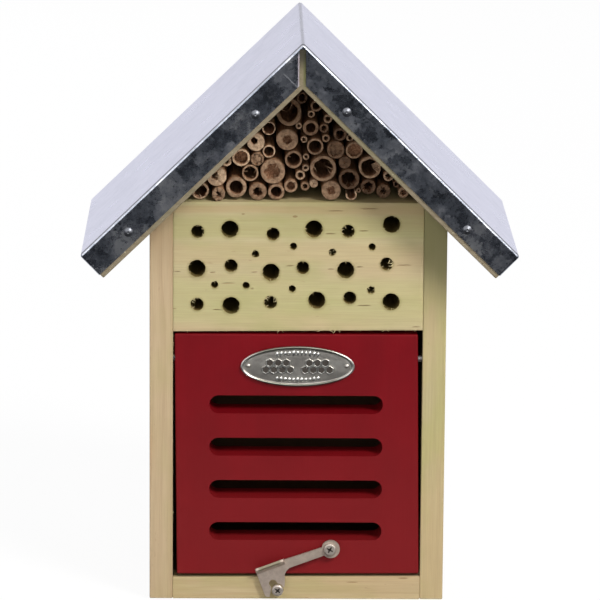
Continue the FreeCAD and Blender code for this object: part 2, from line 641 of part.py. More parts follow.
# ---------------------------------------------------------------- reeds
# x, z, outside radius, bore ratio, front end, bore depth
REEDS = [
    (24.70, 194.78, 2.66, 0.50, -55.0, 62.0), (-46.39, 196.34, 4.22, 0.66, -55.4, 84.0),
    (-37.72, 195.35, 3.23, 0.62, -58.6, 70.0), (-29.40, 198.18, 4.99, 0.72, -55.8, 90.0),
    (-19.30, 196.35, 4.23, 0.58, -56.6, 66.0), (-10.62, 196.08, 3.96, 0.70, -55.6, 82.0),
    (-3.81, 198.88, 3.21, 0.60, -55.0, 74.0), (2.91, 198.59, 2.15, 0.56, -54.4, 58.0),
    (6.99, 200.07, 2.07, 0.30, -54.8, 30.0), (15.12, 197.16, 4.63, 0.55, -56.8, 78.0),
    (28.12, 196.73, 1.16, 0.40, -54.2, 24.0), (32.61, 198.68, 3.62, 0.62, -55.2, 80.0),
    (39.77, 196.64, 3.34, 0.60, -55.8, 68.0), (45.76, 199.83, 1.57, 0.50, -54.6, 36.0),
    (49.11, 196.09, 2.59, 0.58, -55.6, 60.0), (-38.64, 203.37, 4.72, 0.56, -56.4, 86.0),
    (-22.90, 205.05, 4.01, 0.70, -55.4, 72.0), (-12.32, 205.97, 5.96, 0.60, -56.4, 92.0),
    (0.64, 203.84, 2.34, 0.52, -54.2, 50.0), (23.54, 202.43, 4.95, 0.68, -56.2, 88.0),
    (42.02, 203.76, 2.44, 0.55, -55.0, 56.0), (-33.93, 210.30, 2.34, 0.50, -54.6, 54.0),
    (-27.22, 212.42, 4.27, 0.66, -55.8, 76.0), (-19.62, 211.77, 3.24, 0.62, -56.8, 64.0),
    (-2.59, 211.56, 4.30, 0.70, -55.4, 83.0), (3.14, 207.32, 1.65, 0.48, -54.0, 40.0),
    (3.29, 212.67, 1.56, 0.48, -54.2, 34.0), (11.31, 207.51, 6.28, 0.74, -56.6, 94.0),
    (21.46, 210.17, 2.95, 0.60, -54.8, 66.0), (33.24, 208.06, 5.42, 0.70, -56.0, 87.0),
    (-14.15, 215.27, 3.13, 0.60, -55.0, 71.0), (7.53, 217.78, 4.05, 0.68, -55.6, 79.0),
    (17.15, 216.39, 4.23, 0.56, -56.2, 75.0), (25.84, 216.11, 4.13, 0.66, -55.4, 81.0),
    (-20.36, 219.84, 4.35, 0.55, -56.0, 73.0), (-5.64, 221.23, 5.21, 0.40, -56.8, 69.0),
    (2.27, 220.90, 1.65, 0.50, -54.2, 38.0), (12.54, 221.54, 1.89, 0.50, -54.4, 42.0),
    (19.19, 223.60, 3.13, 0.60, -55.0, 67.0), (23.85, 221.78, 1.76, 0.50, -54.0, 35.0),
    (-14.24, 226.29, 3.21, 0.60, -55.2, 65.0), (-0.18, 227.33, 1.62, 0.50, -54.0, 33.0),
    (5.36, 226.71, 3.83, 0.64, -55.6, 77.0), (11.59, 226.44, 2.28, 0.55, -54.8, 55.0),
    (13.43, 230.78, 2.16, 0.52, -54.4, 52.0), (-4.97, 233.75, 6.25, 0.66, -56.2, 91.0),
    (5.58, 232.95, 1.76, 0.50, -54.0, 37.0), (7.85, 236.98, 2.74, 0.58, -54.6, 63.0),
    (1.27, 240.53, 2.59, 0.56, -54.8, 61.0)]
REED_MIN_SINGLE = 2.5       # thinner stems are bundled
REED_BACK = [46.0, 48.0, 44.5, 47.0, 49.0]      # back ends, taken in turn
REED_NODE_T = 3.0           # solid wall behind the front bore


def make_reed(x, z, radius, bore_ratio, y0, depth, y1):
    """Stem bored from the front and, where there is room, from the back."""
    bore = radius * bore_ratio
    stem = cylinder(radius, y1 - y0, (x, y0, z))
    stem = stem.cut(cylinder(bore, depth, (x, y0, z)))
    rear = y0 + depth + REED_NODE_T
    if y1 - rear > 8.0:
        stem = stem.cut(cylinder(bore, y1 - rear, (x, rear, z)))
    return one(stem)


def save_reeds():
    thin = {"left": [], "centre": [], "right": []}
    count = 0
    for i, reed in enumerate(REEDS):
        x, radius = reed[0], reed[2]
        stem = make_reed(*reed, REED_BACK[i % len(REED_BACK)])
        if radius >= REED_MIN_SINGLE:
            count += 1
            save("reed_%02d" % count, stem)
        else:
            key = "left" if x < 0 else ("centre" if x < 10 else "right")
            thin[key].append(stem)
    for key, stems in thin.items():
        save("thin_reeds_" + key, stems)


# ---------------------------------------------------------------- write
save_reeds()
save("left_side_board", one(side_l))
save("right_side_board", one(side_r))
save("bottom_board", one(bottom))
save("back_board", one(back))
save("nest_block", one(block))
save("left_roof_board", roof_l)
save("right_roof_board", roof_r)
save("roof_sheet", sheet)
save("roof_sheet_nails", sheet_nails)
save("roof_board_nails", roof_nails)
save("side_board_nails", side_nails)
save("latch_catch_screw", catch_screw)
save("hanger_plate", one(hanger))
save("hanger_screws", hanger_screws)
save("door_pivot_nail_left", pivots[0])
save("door_pivot_nail_right", pivots[1])
save("door_panel", one(door))
save("badge_plate", badge)
save("badge_pins", badge_pins)
save("latch_pivot_screw", latch_screw)
save("latch_washer", washer)
save("latch_hook", hook)
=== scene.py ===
"""Insect house: a gabled box of pine boards with a sheet-metal roof, a drilled block, reed stems
above the block and a red door with an oval badge below it.

The front faces -Y, +X is to the right and +Z is up, with the floor at z = 0. Sizes and places are
in millimetres unless a comment says otherwise, and become metres when a mesh is made.
"""
import bpy
import bmesh
import math
import random
from mathutils import Matrix, Vector, noise
from mathutils.geometry import delaunay_2d_cdt


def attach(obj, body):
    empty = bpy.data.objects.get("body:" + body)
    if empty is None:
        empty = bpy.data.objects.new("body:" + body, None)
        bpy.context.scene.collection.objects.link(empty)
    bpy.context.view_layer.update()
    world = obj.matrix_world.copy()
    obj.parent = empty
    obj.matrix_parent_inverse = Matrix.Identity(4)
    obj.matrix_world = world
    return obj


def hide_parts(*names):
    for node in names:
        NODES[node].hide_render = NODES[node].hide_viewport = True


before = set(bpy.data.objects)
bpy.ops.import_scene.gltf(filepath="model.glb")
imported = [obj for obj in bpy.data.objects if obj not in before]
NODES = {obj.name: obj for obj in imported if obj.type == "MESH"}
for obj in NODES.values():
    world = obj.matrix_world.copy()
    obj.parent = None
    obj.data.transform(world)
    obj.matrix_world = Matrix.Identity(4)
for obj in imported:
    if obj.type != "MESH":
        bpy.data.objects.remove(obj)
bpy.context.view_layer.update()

scene = bpy.context.scene
MM = 0.001
PI = math.pi
FRONT_Y = -59.0             # front face of the block, and the back of the badge


# ------------------------------------------------------------------ shader node builder
def rgb(red, green, blue):
    """A 0-255 display colour as linear RGBA."""
    def linear(channel):
        channel = channel / 255.0
        return channel / 12.92 if channel <= 0.04045 else ((channel + 0.055) / 1.055) ** 2.4
    return (linear(red), linear(green), linear(blue), 1.0)


def scaled(tone, factor):
    """A linear colour made lighter or darker, capped at 1."""
    return tuple(min(1.0, channel * factor) for channel in tone[:3]) + (1.0,)


def operator(name):
    """A maths operator with the value on the left, and one with it on the right."""
    return (lambda value, other: value.nodes.math(name, value, other),
            lambda value, other: value.nodes.math(name, other, value))


class Value:
    """A node output; Python arithmetic on it adds Math nodes."""
    __add__, __radd__ = operator("ADD")
    __sub__, __rsub__ = operator("SUBTRACT")
    __mul__, __rmul__ = operator("MULTIPLY")
    __truediv__ = operator("DIVIDE")[0]
    __lt__ = operator("LESS_THAN")[0]
    __gt__ = operator("GREATER_THAN")[0]

    def __init__(self, nodes, socket):
        self.nodes = nodes
        self.socket = socket

    def __abs__(self):
        return self.nodes.math("ABSOLUTE", self)

    def fract(self):
        return self.nodes.math("FRACT", self)

    def ease(self, span, to=(0.0, 1.0)):
        """Smooth, clamped map of the span onto the range "to"."""
        node = self.nodes.add("ShaderNodeMapRange", interpolation_type="SMOOTHSTEP")
        self.nodes.fill(node, (self, *span, *to))
        return Value(self.nodes, node.outputs[0])


class VectorValue(Value):
    """A vector output; + and * work on each component."""

    def __add__(self, other):
        return self.nodes.vector_math("ADD", self, other)

    def __mul__(self, factor):
        if isinstance(factor, float):
            factor = (factor,) * 3
        return self.nodes.vector_math("MULTIPLY", self, factor)


class Nodes:
    """Adds nodes to a cleared node tree."""

    def __init__(self, tree):
        self.tree = tree
        tree.nodes.clear()

    def add(self, kind, **settings):
        node = self.tree.nodes.new(kind)
        for name, value in settings.items():
            setattr(node, name, value)
        return node

    def output(self, kind, name):
        """A named output of a new node that takes no inputs."""
        return Value(self, self.add(kind).outputs[name])

    def put(self, socket, value):
        if isinstance(value, Value):
            self.tree.links.new(value.socket, socket)
        else:
            socket.default_value = value

    def fill(self, node, values):
        for socket, value in zip(node.inputs, values):
            self.put(socket, value)

    def math(self, operation, first, second=0.0, *third):
        node = self.add("ShaderNodeMath", operation=operation)
        self.fill(node, (first, second) + third)
        return Value(self, node.outputs[0])

    def highest(self, values):
        result = values[0]
        for value in values[1:]:
            result = self.math("MAXIMUM", result, value)
        return result

    def vector_math(self, operation, *operands):
        node = self.add("ShaderNodeVectorMath", operation=operation)
        self.fill(node, operands)
        return VectorValue(self, node.outputs[0])

    def length(self, x, y, z):
        node = self.add("ShaderNodeVectorMath", operation="LENGTH")
        self.put(node.inputs[0], self.combine(x, y, z))
        return Value(self, node.outputs["Value"])

    def split(self, vector):
        node = self.add("ShaderNodeSeparateXYZ")
        self.put(node.inputs[0], vector)
        return [Value(self, socket) for socket in node.outputs]

    def combine(self, x, y, z):
        node = self.add("ShaderNodeCombineXYZ")
        self.fill(node, (x, y, z))
        return VectorValue(self, node.outputs[0])

    def noise(self, vector, detail=2.0, rough=0.5, distort=0.0, out="Fac"):
        node = self.add("ShaderNodeTexNoise")
        self.put(node.inputs["Vector"], vector)
        node.inputs["Scale"].default_value = 1.0
        node.inputs["Detail"].default_value = detail
        node.inputs["Roughness"].default_value = rough
        node.inputs["Distortion"].default_value = distort
        return Value(self, node.outputs[out])

    def voronoi(self, vector, out="Distance"):
        node = self.add("ShaderNodeTexVoronoi")
        self.put(node.inputs["Vector"], vector)
        node.inputs["Scale"].default_value = 1.0
        return Value(self, node.outputs[out])

    def ramp(self, factor, stops, mode="LINEAR"):
        """Colour ramp; each stop is a position and a grey level or an RGBA colour."""
        node = self.add("ShaderNodeValToRGB")
        node.color_ramp.interpolation = mode
        elements = node.color_ramp.elements
        while len(elements) < len(stops):
            elements.new(0.5)
        for element, (position, tone) in zip(elements, stops):
            element.position = position
            element.color = tone if isinstance(tone, tuple) else (tone, tone, tone, 1.0)
        self.put(node.inputs[0], factor)
        return Value(self, node.outputs[0])

    def mix(self, amount, under, over):
        node = self.add("ShaderNodeMix", data_type="RGBA")
        self.put(node.inputs[0], amount)
        self.put(node.inputs[6], under)
        self.put(node.inputs[7], over)
        return Value(self, node.outputs[2])


class Material(Nodes):
    """A Principled material; "place" is the object-space position in millimetres."""
    INPUTS = {"color": "Base Color", "rough": "Roughness", "metal": "Metallic",
              "normal": "Normal", "spec": "Specular IOR Level"}

    def __init__(self, name):
        self.data = bpy.data.materials.new(name)
        self.data.use_nodes = True
        super().__init__(self.data.node_tree)
        self.surface = self.add("ShaderNodeOutputMaterial").inputs[0]
        self.shader = self.add("ShaderNodeBsdfPrincipled")
        self.tree.links.new(self.shader.outputs[0], self.surface)
        scale = self.add("ShaderNodeVectorMath", operation="SCALE")
        scale.inputs["Scale"].default_value = 1.0 / MM
        self.put(scale.inputs[0], self.output("ShaderNodeTexCoord", "Object"))
        self.place = VectorValue(self, scale.outputs[0])

    def bump(self, height, depth, strength, normal=None):
        node = self.add("ShaderNodeBump")
        node.inputs["Strength"].default_value = strength
        node.inputs["Distance"].default_value = depth * MM
        self.put(node.inputs["Height"], height)
        if normal is not None:
            self.put(node.inputs["Normal"], normal)
        return Value(self, node.outputs[0])

    def finish(self, **inputs):
        for name, value in inputs.items():
            self.put(self.shader.inputs[self.INPUTS[name]], value)
        return self.data


# ------------------------------------------------------------------ wood
def knotted(mat, radius, knots, u, v, w, warp):
    """Bends the growth rings round each knot. Returns ring radius, knot mask and knot rings."""
    cores, rings = [], []
    for knot_u, knot_v, knot_w, size, through in knots:
        along = (w - knot_w) * 0.62
        if through == "u":
            reach = mat.length(0.0, v - knot_v, along)
        else:
            reach = mat.length(u - knot_u, 0.0, along)
        reach = reach + (warp - 0.5) * 3.0
        radius = radius + reach.ease((size * 4.5, size * 0.8), to=(0.0, size * 2.2))
        core = reach.ease((size * 1.12, size * 0.86))
        lines = (reach / (size * 0.26)).fract().ease((0.35, 0.9))
        border = reach.ease((size * 0.74, size * 0.94))
        rings.append(core * mat.highest([lines, border]))
        cores.append(core)
    return radius, mat.highest(cores), mat.highest(rings)


def roof_flecks_and_shade(mat, tone):
    """Flecks on the roof boards; a stain, painted shade and a painted shadow at their front joint.
    """
    fleck = mat.noise(mat.place * 0.75, detail=3.0, rough=0.6)
    tone = mat.mix(fleck.ease((0.66, 0.74), to=(0.0, 0.85)), tone, rgb(196, 190, 160))
    tone = mat.mix(fleck.ease((0.36, 0.26), to=(0.0, 0.85)), tone, rgb(66, 56, 34))
    x = mat.split(mat.place)[0]
    joint = abs(x - 1.0).ease((3.0, 2.4)) * (mat.split(mat.place)[1] < -70.0)
    tone = mat.mix(joint * x.ease((0.9, -0.4), to=(0.0, 0.2)), tone, rgb(90, 76, 52))
    # painted greenish shade on the upper right of the joint
    shaded_height = mat.split(mat.place)[2].ease((248.0, 254.0))
    tone = mat.mix(joint * shaded_height * x.ease((1.0, 1.9), to=(0.0, 0.75)), tone, rgb(84, 86, 46))
    # painted shadow at the top of the joint, under the fold of the sheet
    fold_shadow = mat.split(mat.place)[2].ease((256.0, 266.0), to=(0.0, 0.85))
    return mat.mix(joint * fold_shadow, tone, rgb(34, 32, 26))


def house_marks(mat, tone, checks, holes, warp, spots):
    """Hairline checks, darker greenish rings round drilled holes and painted shade inside the box.
    Returns the tone and the check mask, or None where there are no checks."""
    x, y, z = mat.split(mat.place)
    groove = None
    if checks:
        masks = []
        for x0, z0, x1, z1, least_half_height, amount in checks:
            half_width = max(abs(x1 - x0), 0.6) / 2
            half_height = max(abs(z1 - z0) / 2, least_half_height)
            dx = (x - (x0 + x1) / 2) / half_width
            dz = (z + (warp - 0.5) * 2.2 - (z0 + z1) / 2) / half_height
            masks.append((dx * dx + dz * dz).ease((1.0, 0.25), to=(0.0, amount)))
        groove = mat.highest(masks) * y.ease((-57.5, -58.5))
        tone = mat.mix(groove, tone, rgb(112, 78, 44))
    if holes:
        masks = []
        for hole_x, hole_z, radius in holes:
            dx = x - hole_x
            dz = z + (warp - 0.5) * 1.6 - (hole_z - 0.25)
            reach = mat.length(dx, 0.0, dz) - radius
            masks.append(reach.ease((0.35 + 0.3 * radius, -0.1)))
        # darker greenish ring round each hole, centred a little lower
        hole_ring = mat.highest(masks) * spots.ease((0.35, 0.60), to=(0.30, 0.62))
        tone = mat.mix(hole_ring, tone, rgb(118, 108, 58))
    # painted shade on the faces inside the box
    within_x = abs(x) < 59.2
    within_z = (z > 9.0) * (z < 132.0)
    shaded_inside = within_x * (y > -46.0) * (within_z * (y < 50.4))
    return mat.mix(shaded_inside * 0.93, tone, rgb(80, 52, 32)), groove


def wood(name, grain, pith, light, dark, green, green_amount, ring, contrast, seed, pink=None,
         pink_amount=0.0, rough=0.62, fibre=0.05, knots=(), bands=(), eave_shadow=None,
         inside=True, checks=(), holes=(), flecks_and_shade=False):
    """Planed softwood.

    grain: axis the fibres run along; the other two axes, in order, are u and v, and w is along it
    pith: (u, v) centre of the growth rings; ring: their spacing; contrast: their strength
    knots: u, v, w, size, axis the knot runs through
    bands: stained bands as low v, high v, tone, amount
    eave_shadow: painted shadow of the roof from z0 to z1, tone, amount, and optionally x0, x1 and
    the share left at x0
    inside: paints shade on faces inside the box, and allows checks and holes
    """
    mat = Material(name)
    axes = mat.split(mat.place)
    u, v, w = (axes[i] for i in {"x": (1, 2, 0), "y": (0, 2, 1), "z": (0, 1, 2)}[grain])
    fibres = mat.combine(u, v, w) + (seed * 37.1, seed * 11.7, seed * 53.3)
    broad_warp = mat.noise(fibres * (0.018, 0.018, 0.0065))
    warp = mat.noise(fibres * (0.09, 0.09, 0.018))
    radius = mat.length(u - pith[0], v - pith[1], 0.0) + broad_warp * 16.0 + warp * 2.6
    if knots:
        radius, knot_mask, knot_rings = knotted(mat, radius, knots, u, v, w, warp)

    # growth rings: slow rise, dark late wood, sharp end
    late = mat.ramp((radius / ring).fract(), [
        (0.0, 0.12), (0.35, 0.0), (0.78, 0.55), (0.9, 1.0), (0.955, 0.75), (1.0, 0.12)])
    strength = mat.noise(fibres * (0.05, 0.05, 0.01), detail=1.0, rough=0.55)
    late = late * strength.ease((0.3, 0.7), to=(contrast * 0.45, contrast))
    fine = mat.noise(fibres * (2.6, 2.6, 0.05), detail=4.0, rough=0.65)
    streaks = mat.noise(fibres * (0.75, 0.75, 0.012), detail=3.0, rough=0.6)
    blots = mat.noise(fibres * (0.055, 0.055, 0.022), detail=3.0, rough=0.6)
    tone = mat.mix(late, light, dark)
    tone = mat.mix(streaks.ease((0.35, 0.75), to=(0.0, 0.30)), tone, dark)
    if pink is not None:
        blush = mat.noise((fibres + (91.0, 17.0, 5.0)) * (0.035, 0.035, 0.012))
        tone = mat.mix(blush.ease((0.45, 0.68), to=(0.0, pink_amount)), tone, pink)
    tone = mat.mix(blots.ease((0.42, 0.70), to=(0.0, green_amount)), tone, green)
    for low, high, band_tone, amount in bands:
        reach = abs(v + warp * 5.0 - ((low + high) / 2 + 2.5))
        width = high - low
        tone = mat.mix(reach.ease((width * 0.62, width * 0.3), to=(0.0, amount)), tone, band_tone)
    tone = mat.mix(fine.ease((0.30, 0.70), to=(0.16, 0.0)), tone, rgb(96, 78, 50))
    spots = mat.noise(fibres * (0.9, 0.9, 0.16))
    tone = mat.mix(spots.ease((0.70, 0.80), to=(0.0, 0.45)), tone, rgb(122, 92, 62))
    if knots:
        knot_tone = mat.mix(knot_rings, rgb(140, 98, 60), rgb(104, 68, 40))
        tone = mat.mix(knot_mask * 0.85, tone, knot_tone)
    if flecks_and_shade:
        tone = roof_flecks_and_shade(mat, tone)
    # painted shadow of the roof overhang, stronger towards z1
    if eave_shadow:
        z0, z1, shadow_tone, amount, *sideways = eave_shadow
        height = mat.split(mat.place)[2] + (warp - 0.5) * 14.0
        shadowed = height.ease((z0, z1), to=(0.0, amount))
        if sideways:
            x0, x1, share = sideways
            shadowed = shadowed * mat.split(mat.place)[0].ease((x0, x1), to=(share, 1.0))
        tone = mat.mix(shadowed, tone, shadow_tone)
    relief = fine * 0.6 + late * -0.5 + streaks * 0.8
    if inside:
        tone, groove = house_marks(mat, tone, checks, holes, warp, spots)
        if groove is not None:
            relief = relief + groove * -4.0
    return mat.finish(color=tone, rough=fine.ease((0.2, 0.8), to=(rough - 0.08, rough + 0.12)),
                      normal=mat.bump(relief, depth=fibre, strength=0.9), spec=0.32)


# drilled holes of the block: x, z, radius
HOLES = [
    (-47.4, 178.7, 3.0), (-32.3, 179.9, 4.0), (-12.0, 177.7, 3.0), (7.2, 180.2, 4.0),
    (23.3, 179.2, 3.0), (43.7, 182.6, 4.0), (-47.7, 161.0, 4.0), (-31.7, 162.4, 3.0),
    (-12.9, 159.4, 4.0), (2.1, 161.6, 3.0), (22.3, 160.6, 4.0), (41.5, 163.6, 3.0),
    (-47.6, 143.8, 3.0), (-31.6, 143.3, 4.0), (-13.0, 144.9, 3.0), (8.8, 146.0, 4.0),
    (24.3, 147.2, 3.0), (43.8, 145.4, 4.0), (-20.2, 168.1, 1.6), (-2.4, 171.9, 1.6),
    (15.9, 169.1, 1.6), (34.6, 171.8, 1.6), (-39.4, 153.3, 1.6), (-24.6, 153.0, 1.6),
    (-2.8, 151.5, 1.6), (34.3, 151.0, 1.6)]
# hairline checks cut into its front face: x0, z0, x1, z1
CHECKS = [
    (-59.4, 159.4, -55.2, 159.6), (-42.0, 159.2, -38.7, 159.5), (-22.3, 159.3, -19.0, 159.6),
    (-6.3, 162.3, -1.6, 162.5), (-36.8, 154.1, -29.3, 154.5), (-22.7, 151.6, -20.8, 151.9),
    (-59.4, 141.4, -57.1, 141.6), (-40.6, 141.0, -35.9, 141.2), (11.9, 178.0, 18.0, 178.2),
    (27.9, 179.2, 33.1, 179.5), (13.5, 160.9, 17.2, 161.2), (26.6, 162.0, 30.9, 162.2),
    (45.5, 163.0, 53.9, 163.3), (28.3, 189.8, 37.6, 190.0), (13.2, 188.7, 21.7, 189.0),
    (27.3, 143.4, 34.8, 143.7), (53.4, 133.2, 58.0, 133.4)]

PINE_LEFT = wood(
    "pine_left", grain="z", pith=(-118.0, -20.0), light=rgb(179, 158, 126), dark=rgb(152, 127, 95),
    green=rgb(160, 150, 102), green_amount=0.42, pink=rgb(178, 144, 110), pink_amount=0.6,
    ring=3.6, contrast=0.42, seed=1.0, knots=[(-70, 18, 74, 5.5, "u")],
    # painted shade under the left eave
    eave_shadow=(152.0, 190.0, rgb(132, 112, 80), 0.4))
PINE_RIGHT = wood(
    "pine_right", grain="z", pith=(132.0, 10.0), light=rgb(173, 160, 122), dark=rgb(150, 133, 95),
    green=rgb(160, 156, 98), green_amount=0.6, pink=rgb(184, 156, 116), pink_amount=0.4,
    ring=3.2, contrast=0.36, seed=2.3, knots=[(70, -12, 132, 4.5, "u"), (70, 34, 48, 6.0, "u")],
    # painted shadow of the roof overhang, greenish, stronger towards the top
    eave_shadow=(122.0, 170.0, rgb(105, 103, 66), 0.80))
PINE_BOTTOM = wood(
    "pine_bottom", grain="x", pith=(-20.0, -46.0), light=rgb(178, 160, 124),
    dark=rgb(156, 130, 90), green=rgb(158, 150, 98), green_amount=0.5, pink=rgb(180, 150, 112),
    pink_amount=0.4, ring=3.8, contrast=0.34, seed=3.1,
    checks=[(23.3, 8.3, 30.0, 8.6, 0.35, 0.55), (48.2, 10.2, 53.9, 10.7, 0.5, 0.6)])
PINE_BACK = wood(
    "pine_back", grain="z", pith=(-16.0, 112.0), light=rgb(184, 164, 122), dark=rgb(156, 128, 88),
    green=rgb(158, 154, 98), green_amount=0.5, pink=rgb(178, 148, 110), pink_amount=0.4,
    ring=4.2, contrast=0.6, seed=4.7, knots=[(-22, 59, 96, 6.5, "v"), (31, 59, 172, 4.5, "v")])
BLOCK = wood(
    "pine_block", grain="x", pith=(-10.0, 262.0), light=rgb(176, 164, 126),
    dark=rgb(157, 138, 99), green=rgb(152, 153, 98), green_amount=0.50, pink=rgb(183, 157, 124),
    pink_amount=0.60, ring=7.5, contrast=0.22, seed=5.9,
    # painted shade under the roof, weaker towards the left
    eave_shadow=(174.0, 192.0, rgb(128, 114, 77), 0.60, -45.0, 25.0, 0.25), holes=HOLES,
    checks=[check + (0.30, 0.45) for check in CHECKS] + [
        (-3.2, 185.2, -0.3, 186.6, 0.6, 0.6), (-27.1, 186.3, -25.2, 187.1, 0.5, 0.5)],
    bands=[(134.0, 157.0, rgb(169, 166, 114), 0.42), (163.0, 173.0, rgb(178, 158, 120), 0.4),
           (175.5, 186.0, rgb(154, 156, 98), 0.4), (187.0, 191.0, rgb(174, 146, 108), 0.42)])
ROOF_WOOD = wood(
    "pine_roof", grain="x", pith=(-60.0, 210.0), light=rgb(128, 118, 98), dark=rgb(96, 84, 62),
    green=rgb(108, 104, 76), green_amount=0.6, ring=3.0, contrast=0.5, seed=7.3, rough=0.72,
    fibre=0.09, inside=False, flecks_and_shade=True)
DRILLED = wood(
    "drilled_wood", grain="y", pith=(0.0, 150.0), light=rgb(114, 96, 50), dark=rgb(80, 62, 32),
    green=rgb(90, 86, 44), green_amount=0.5, ring=5.0, contrast=0.4, seed=8.8, rough=0.8,
    fibre=0.12, inside=False)

# ------------------------------------------------------------------ metals
# lighter and darker areas of the roof sheet: x, z, half width, half height, strength
BLOOM = [
    (-78.0, 178.0, 13.0, 12.0, 0.17), (-94.0, 162.0, 8.0, 8.0, 0.10),
    (-60.0, 201.0, 11.0, 11.0, 0.09), (-40.0, 218.0, 9.0, 9.0, -0.05),
    (-26.0, 234.0, 9.0, 9.0, 0.17), (-10.0, 247.0, 7.0, 8.0, 0.04),
    (44.0, 215.0, 9.0, 10.0, 0.05), (37.0, 226.0, 6.0, 8.0, -0.08),
    (60.0, 204.0, 11.0, 9.0, -0.05), (84.0, 180.0, 13.0, 13.0, 0.15),
    (95.0, 168.0, 8.0, 9.0, 0.06)]


def roof_sheet():
    """Galvanised sheet: mottled upright flanges; the slopes get a plainer, lighter tone as painted
    light.
    """
    drift = 8.0                     # span of the noise that warps the pattern
    ridge_x = 1.3                   # x of the line the two slopes meet on
    mat = Material("galvanised_sheet")
    place = mat.place
    x, y, z = mat.split(place)
    normal = mat.output("ShaderNodeNewGeometry", "Normal")
    slope = mat.split(normal)[2].ease((0.35, 0.6))
    flange = 1.0 - slope
    drifting = mat.noise(place * 0.30, detail=4.0, rough=0.68, out="Color")
    warped = mat.vector_math("MULTIPLY_ADD", drifting, (drift,) * 3, place)
    large_cells = mat.split(mat.voronoi(warped * 0.12, out="Color"))[0]
    small_cells = mat.split(mat.voronoi(warped * 0.42, out="Color"))[1]
    cloud = mat.noise(place * 0.045, detail=3.0, rough=0.6)
    smoke = mat.noise(warped * 0.16, detail=5.0, rough=0.72)
    fine = mat.noise(place * 0.9, detail=4.0, rough=0.7)
    mottle = large_cells * 0.13 + small_cells * 0.06 + cloud * 0.30 + smoke * 0.48

    level = mottle
    for bloom_x, bloom_z, half_width, half_height, strength in BLOOM:
        dx = (mat.split(warped)[0] - (bloom_x + drift / 2)) / half_width
        dz = (mat.split(warped)[2] - (bloom_z + drift / 2)) / half_height
        level = level + mat.length(dx, 0.0, dz).ease((1.0, 0.35), to=(0.0, strength))
    # the lower part of each flange is lighter, and the left one is lighter than the right
    below = (270.0 - abs(x - ridge_x) * 0.975 - z) * 0.72
    level = level + (below + (smoke - 0.5) * 6.0).ease((6.5, 12.5), to=(0.0, 0.05))
    level = level + x.ease((4.0, -4.0), to=(0.018, 0.046))
    tone = mat.ramp(level, [
        (0.36, rgb(106, 111, 120)), (0.45, rgb(136, 142, 153)), (0.53, rgb(164, 170, 182)),
        (0.62, rgb(204, 208, 218)), (0.72, rgb(244, 246, 250))])
    # painted light: the up-facing slopes get a lighter, plainer tone than the flanges
    painted_light_slope_tone = mat.ramp(mottle, [
        (0.30, rgb(214, 216, 227)), (0.5, rgb(226, 227, 238)), (0.72, rgb(236, 236, 246))])

    # fine curved scratches
    swirl = mat.noise(place * 0.05, distort=1.6)
    line = abs((swirl * 13.0).fract() - 0.5)
    kept = mat.noise(place * 0.11)
    scratch = line.ease((0.030, 0.010)) * kept.ease((0.50, 0.62))
    tone = mat.mix(scratch * 0.5, tone, rgb(236, 238, 242))
    # small bright flakes and a few dark specks
    speck = mat.noise(warped * 0.8)
    tone = mat.mix(speck.ease((0.70, 0.78), to=(0.0, 0.40)), tone, rgb(214, 216, 220))
    tone = mat.mix(speck.ease((0.26, 0.20), to=(0.0, 0.25)), tone, rgb(70, 72, 78))
    # rubbed streaks along the slope of each flange; the distance from the ridge has no offset
    outward = abs(mat.split(warped)[0] - ridge_x) - 0.0
    along = outward * 0.71 + mat.split(warped)[2] * -0.70
    across = outward * 0.70 + mat.split(warped)[2] * 0.71
    streak = mat.noise(mat.combine(along * 0.05, across * 0.55, 2.0), detail=3.0, rough=0.6)
    patch = mat.noise(place * 0.075)
    rubbed = streak.ease((0.54, 0.66)) * patch.ease((0.42, 0.58))
    tone = mat.mix(rubbed * 0.5, tone, rgb(232, 234, 240))
    # painted light on the up-facing slopes
    tone = mat.mix(slope, tone, painted_light_slope_tone)
    # painted dark reflection band just behind the folded edge
    dark_reflection_band = abs(y + 76.8).ease((2.0, 1.25)) * slope
    tone = mat.mix(dark_reflection_band * 0.92, tone, rgb(52, 54, 60))
    # bare cut edge where the two flanges meet
    at_front = y < -78.2
    cut = abs(x + 0.72).ease((0.42, 0.24)) * at_front * z.ease((267.5, 264.5)) * flange
    tone = mat.mix(cut * 0.8, tone, rgb(150, 136, 138))
    # scribed line beside it
    across = (x + 7.7) * 0.70 + (z - 257.1) * 0.71 + (cloud - 0.5) * 0.6
    along = (x + 7.7) * 0.71 - (z - 257.1) * 0.70
    scribe = abs(across).ease((0.26, 0.12)) * at_front * abs(along - 5.2).ease((5.4, 4.6))
    tone = mat.mix(scribe * 0.5, tone, rgb(226, 226, 230))

    flange_rough = (mottle.ease((0.35, 0.65), to=(0.25, 0.33))
                    + fine.ease((0.3, 0.7), to=(-0.02, 0.03)))
    rough = mat.mix(slope, flange_rough, cloud.ease((0.3, 0.7), to=(0.27, 0.31)))
    relief = (large_cells * 0.3 + smoke * 0.5 + fine * 0.25) * flange
    waves = mat.bump(cloud * flange, depth=1.2, strength=0.10)
    dull = mat.highest([cut * 0.85, scribe * 0.16])
    return mat.finish(color=tone, rough=rough, metal=1.0 - dull,
                      normal=mat.bump(relief, depth=0.008, strength=0.5, normal=waves))


def lip_span():
    """Left and right ends of the lip that stands forward of the latch plate."""
    points = [vertex.co * 1000 for vertex in NODES["latch_hook"].data.vertices]
    limit_y = max(point.y for point in points) - 1.4 - 1.2
    lip = [point.x for point in points if point.y < limit_y]
    return min(lip), max(lip)


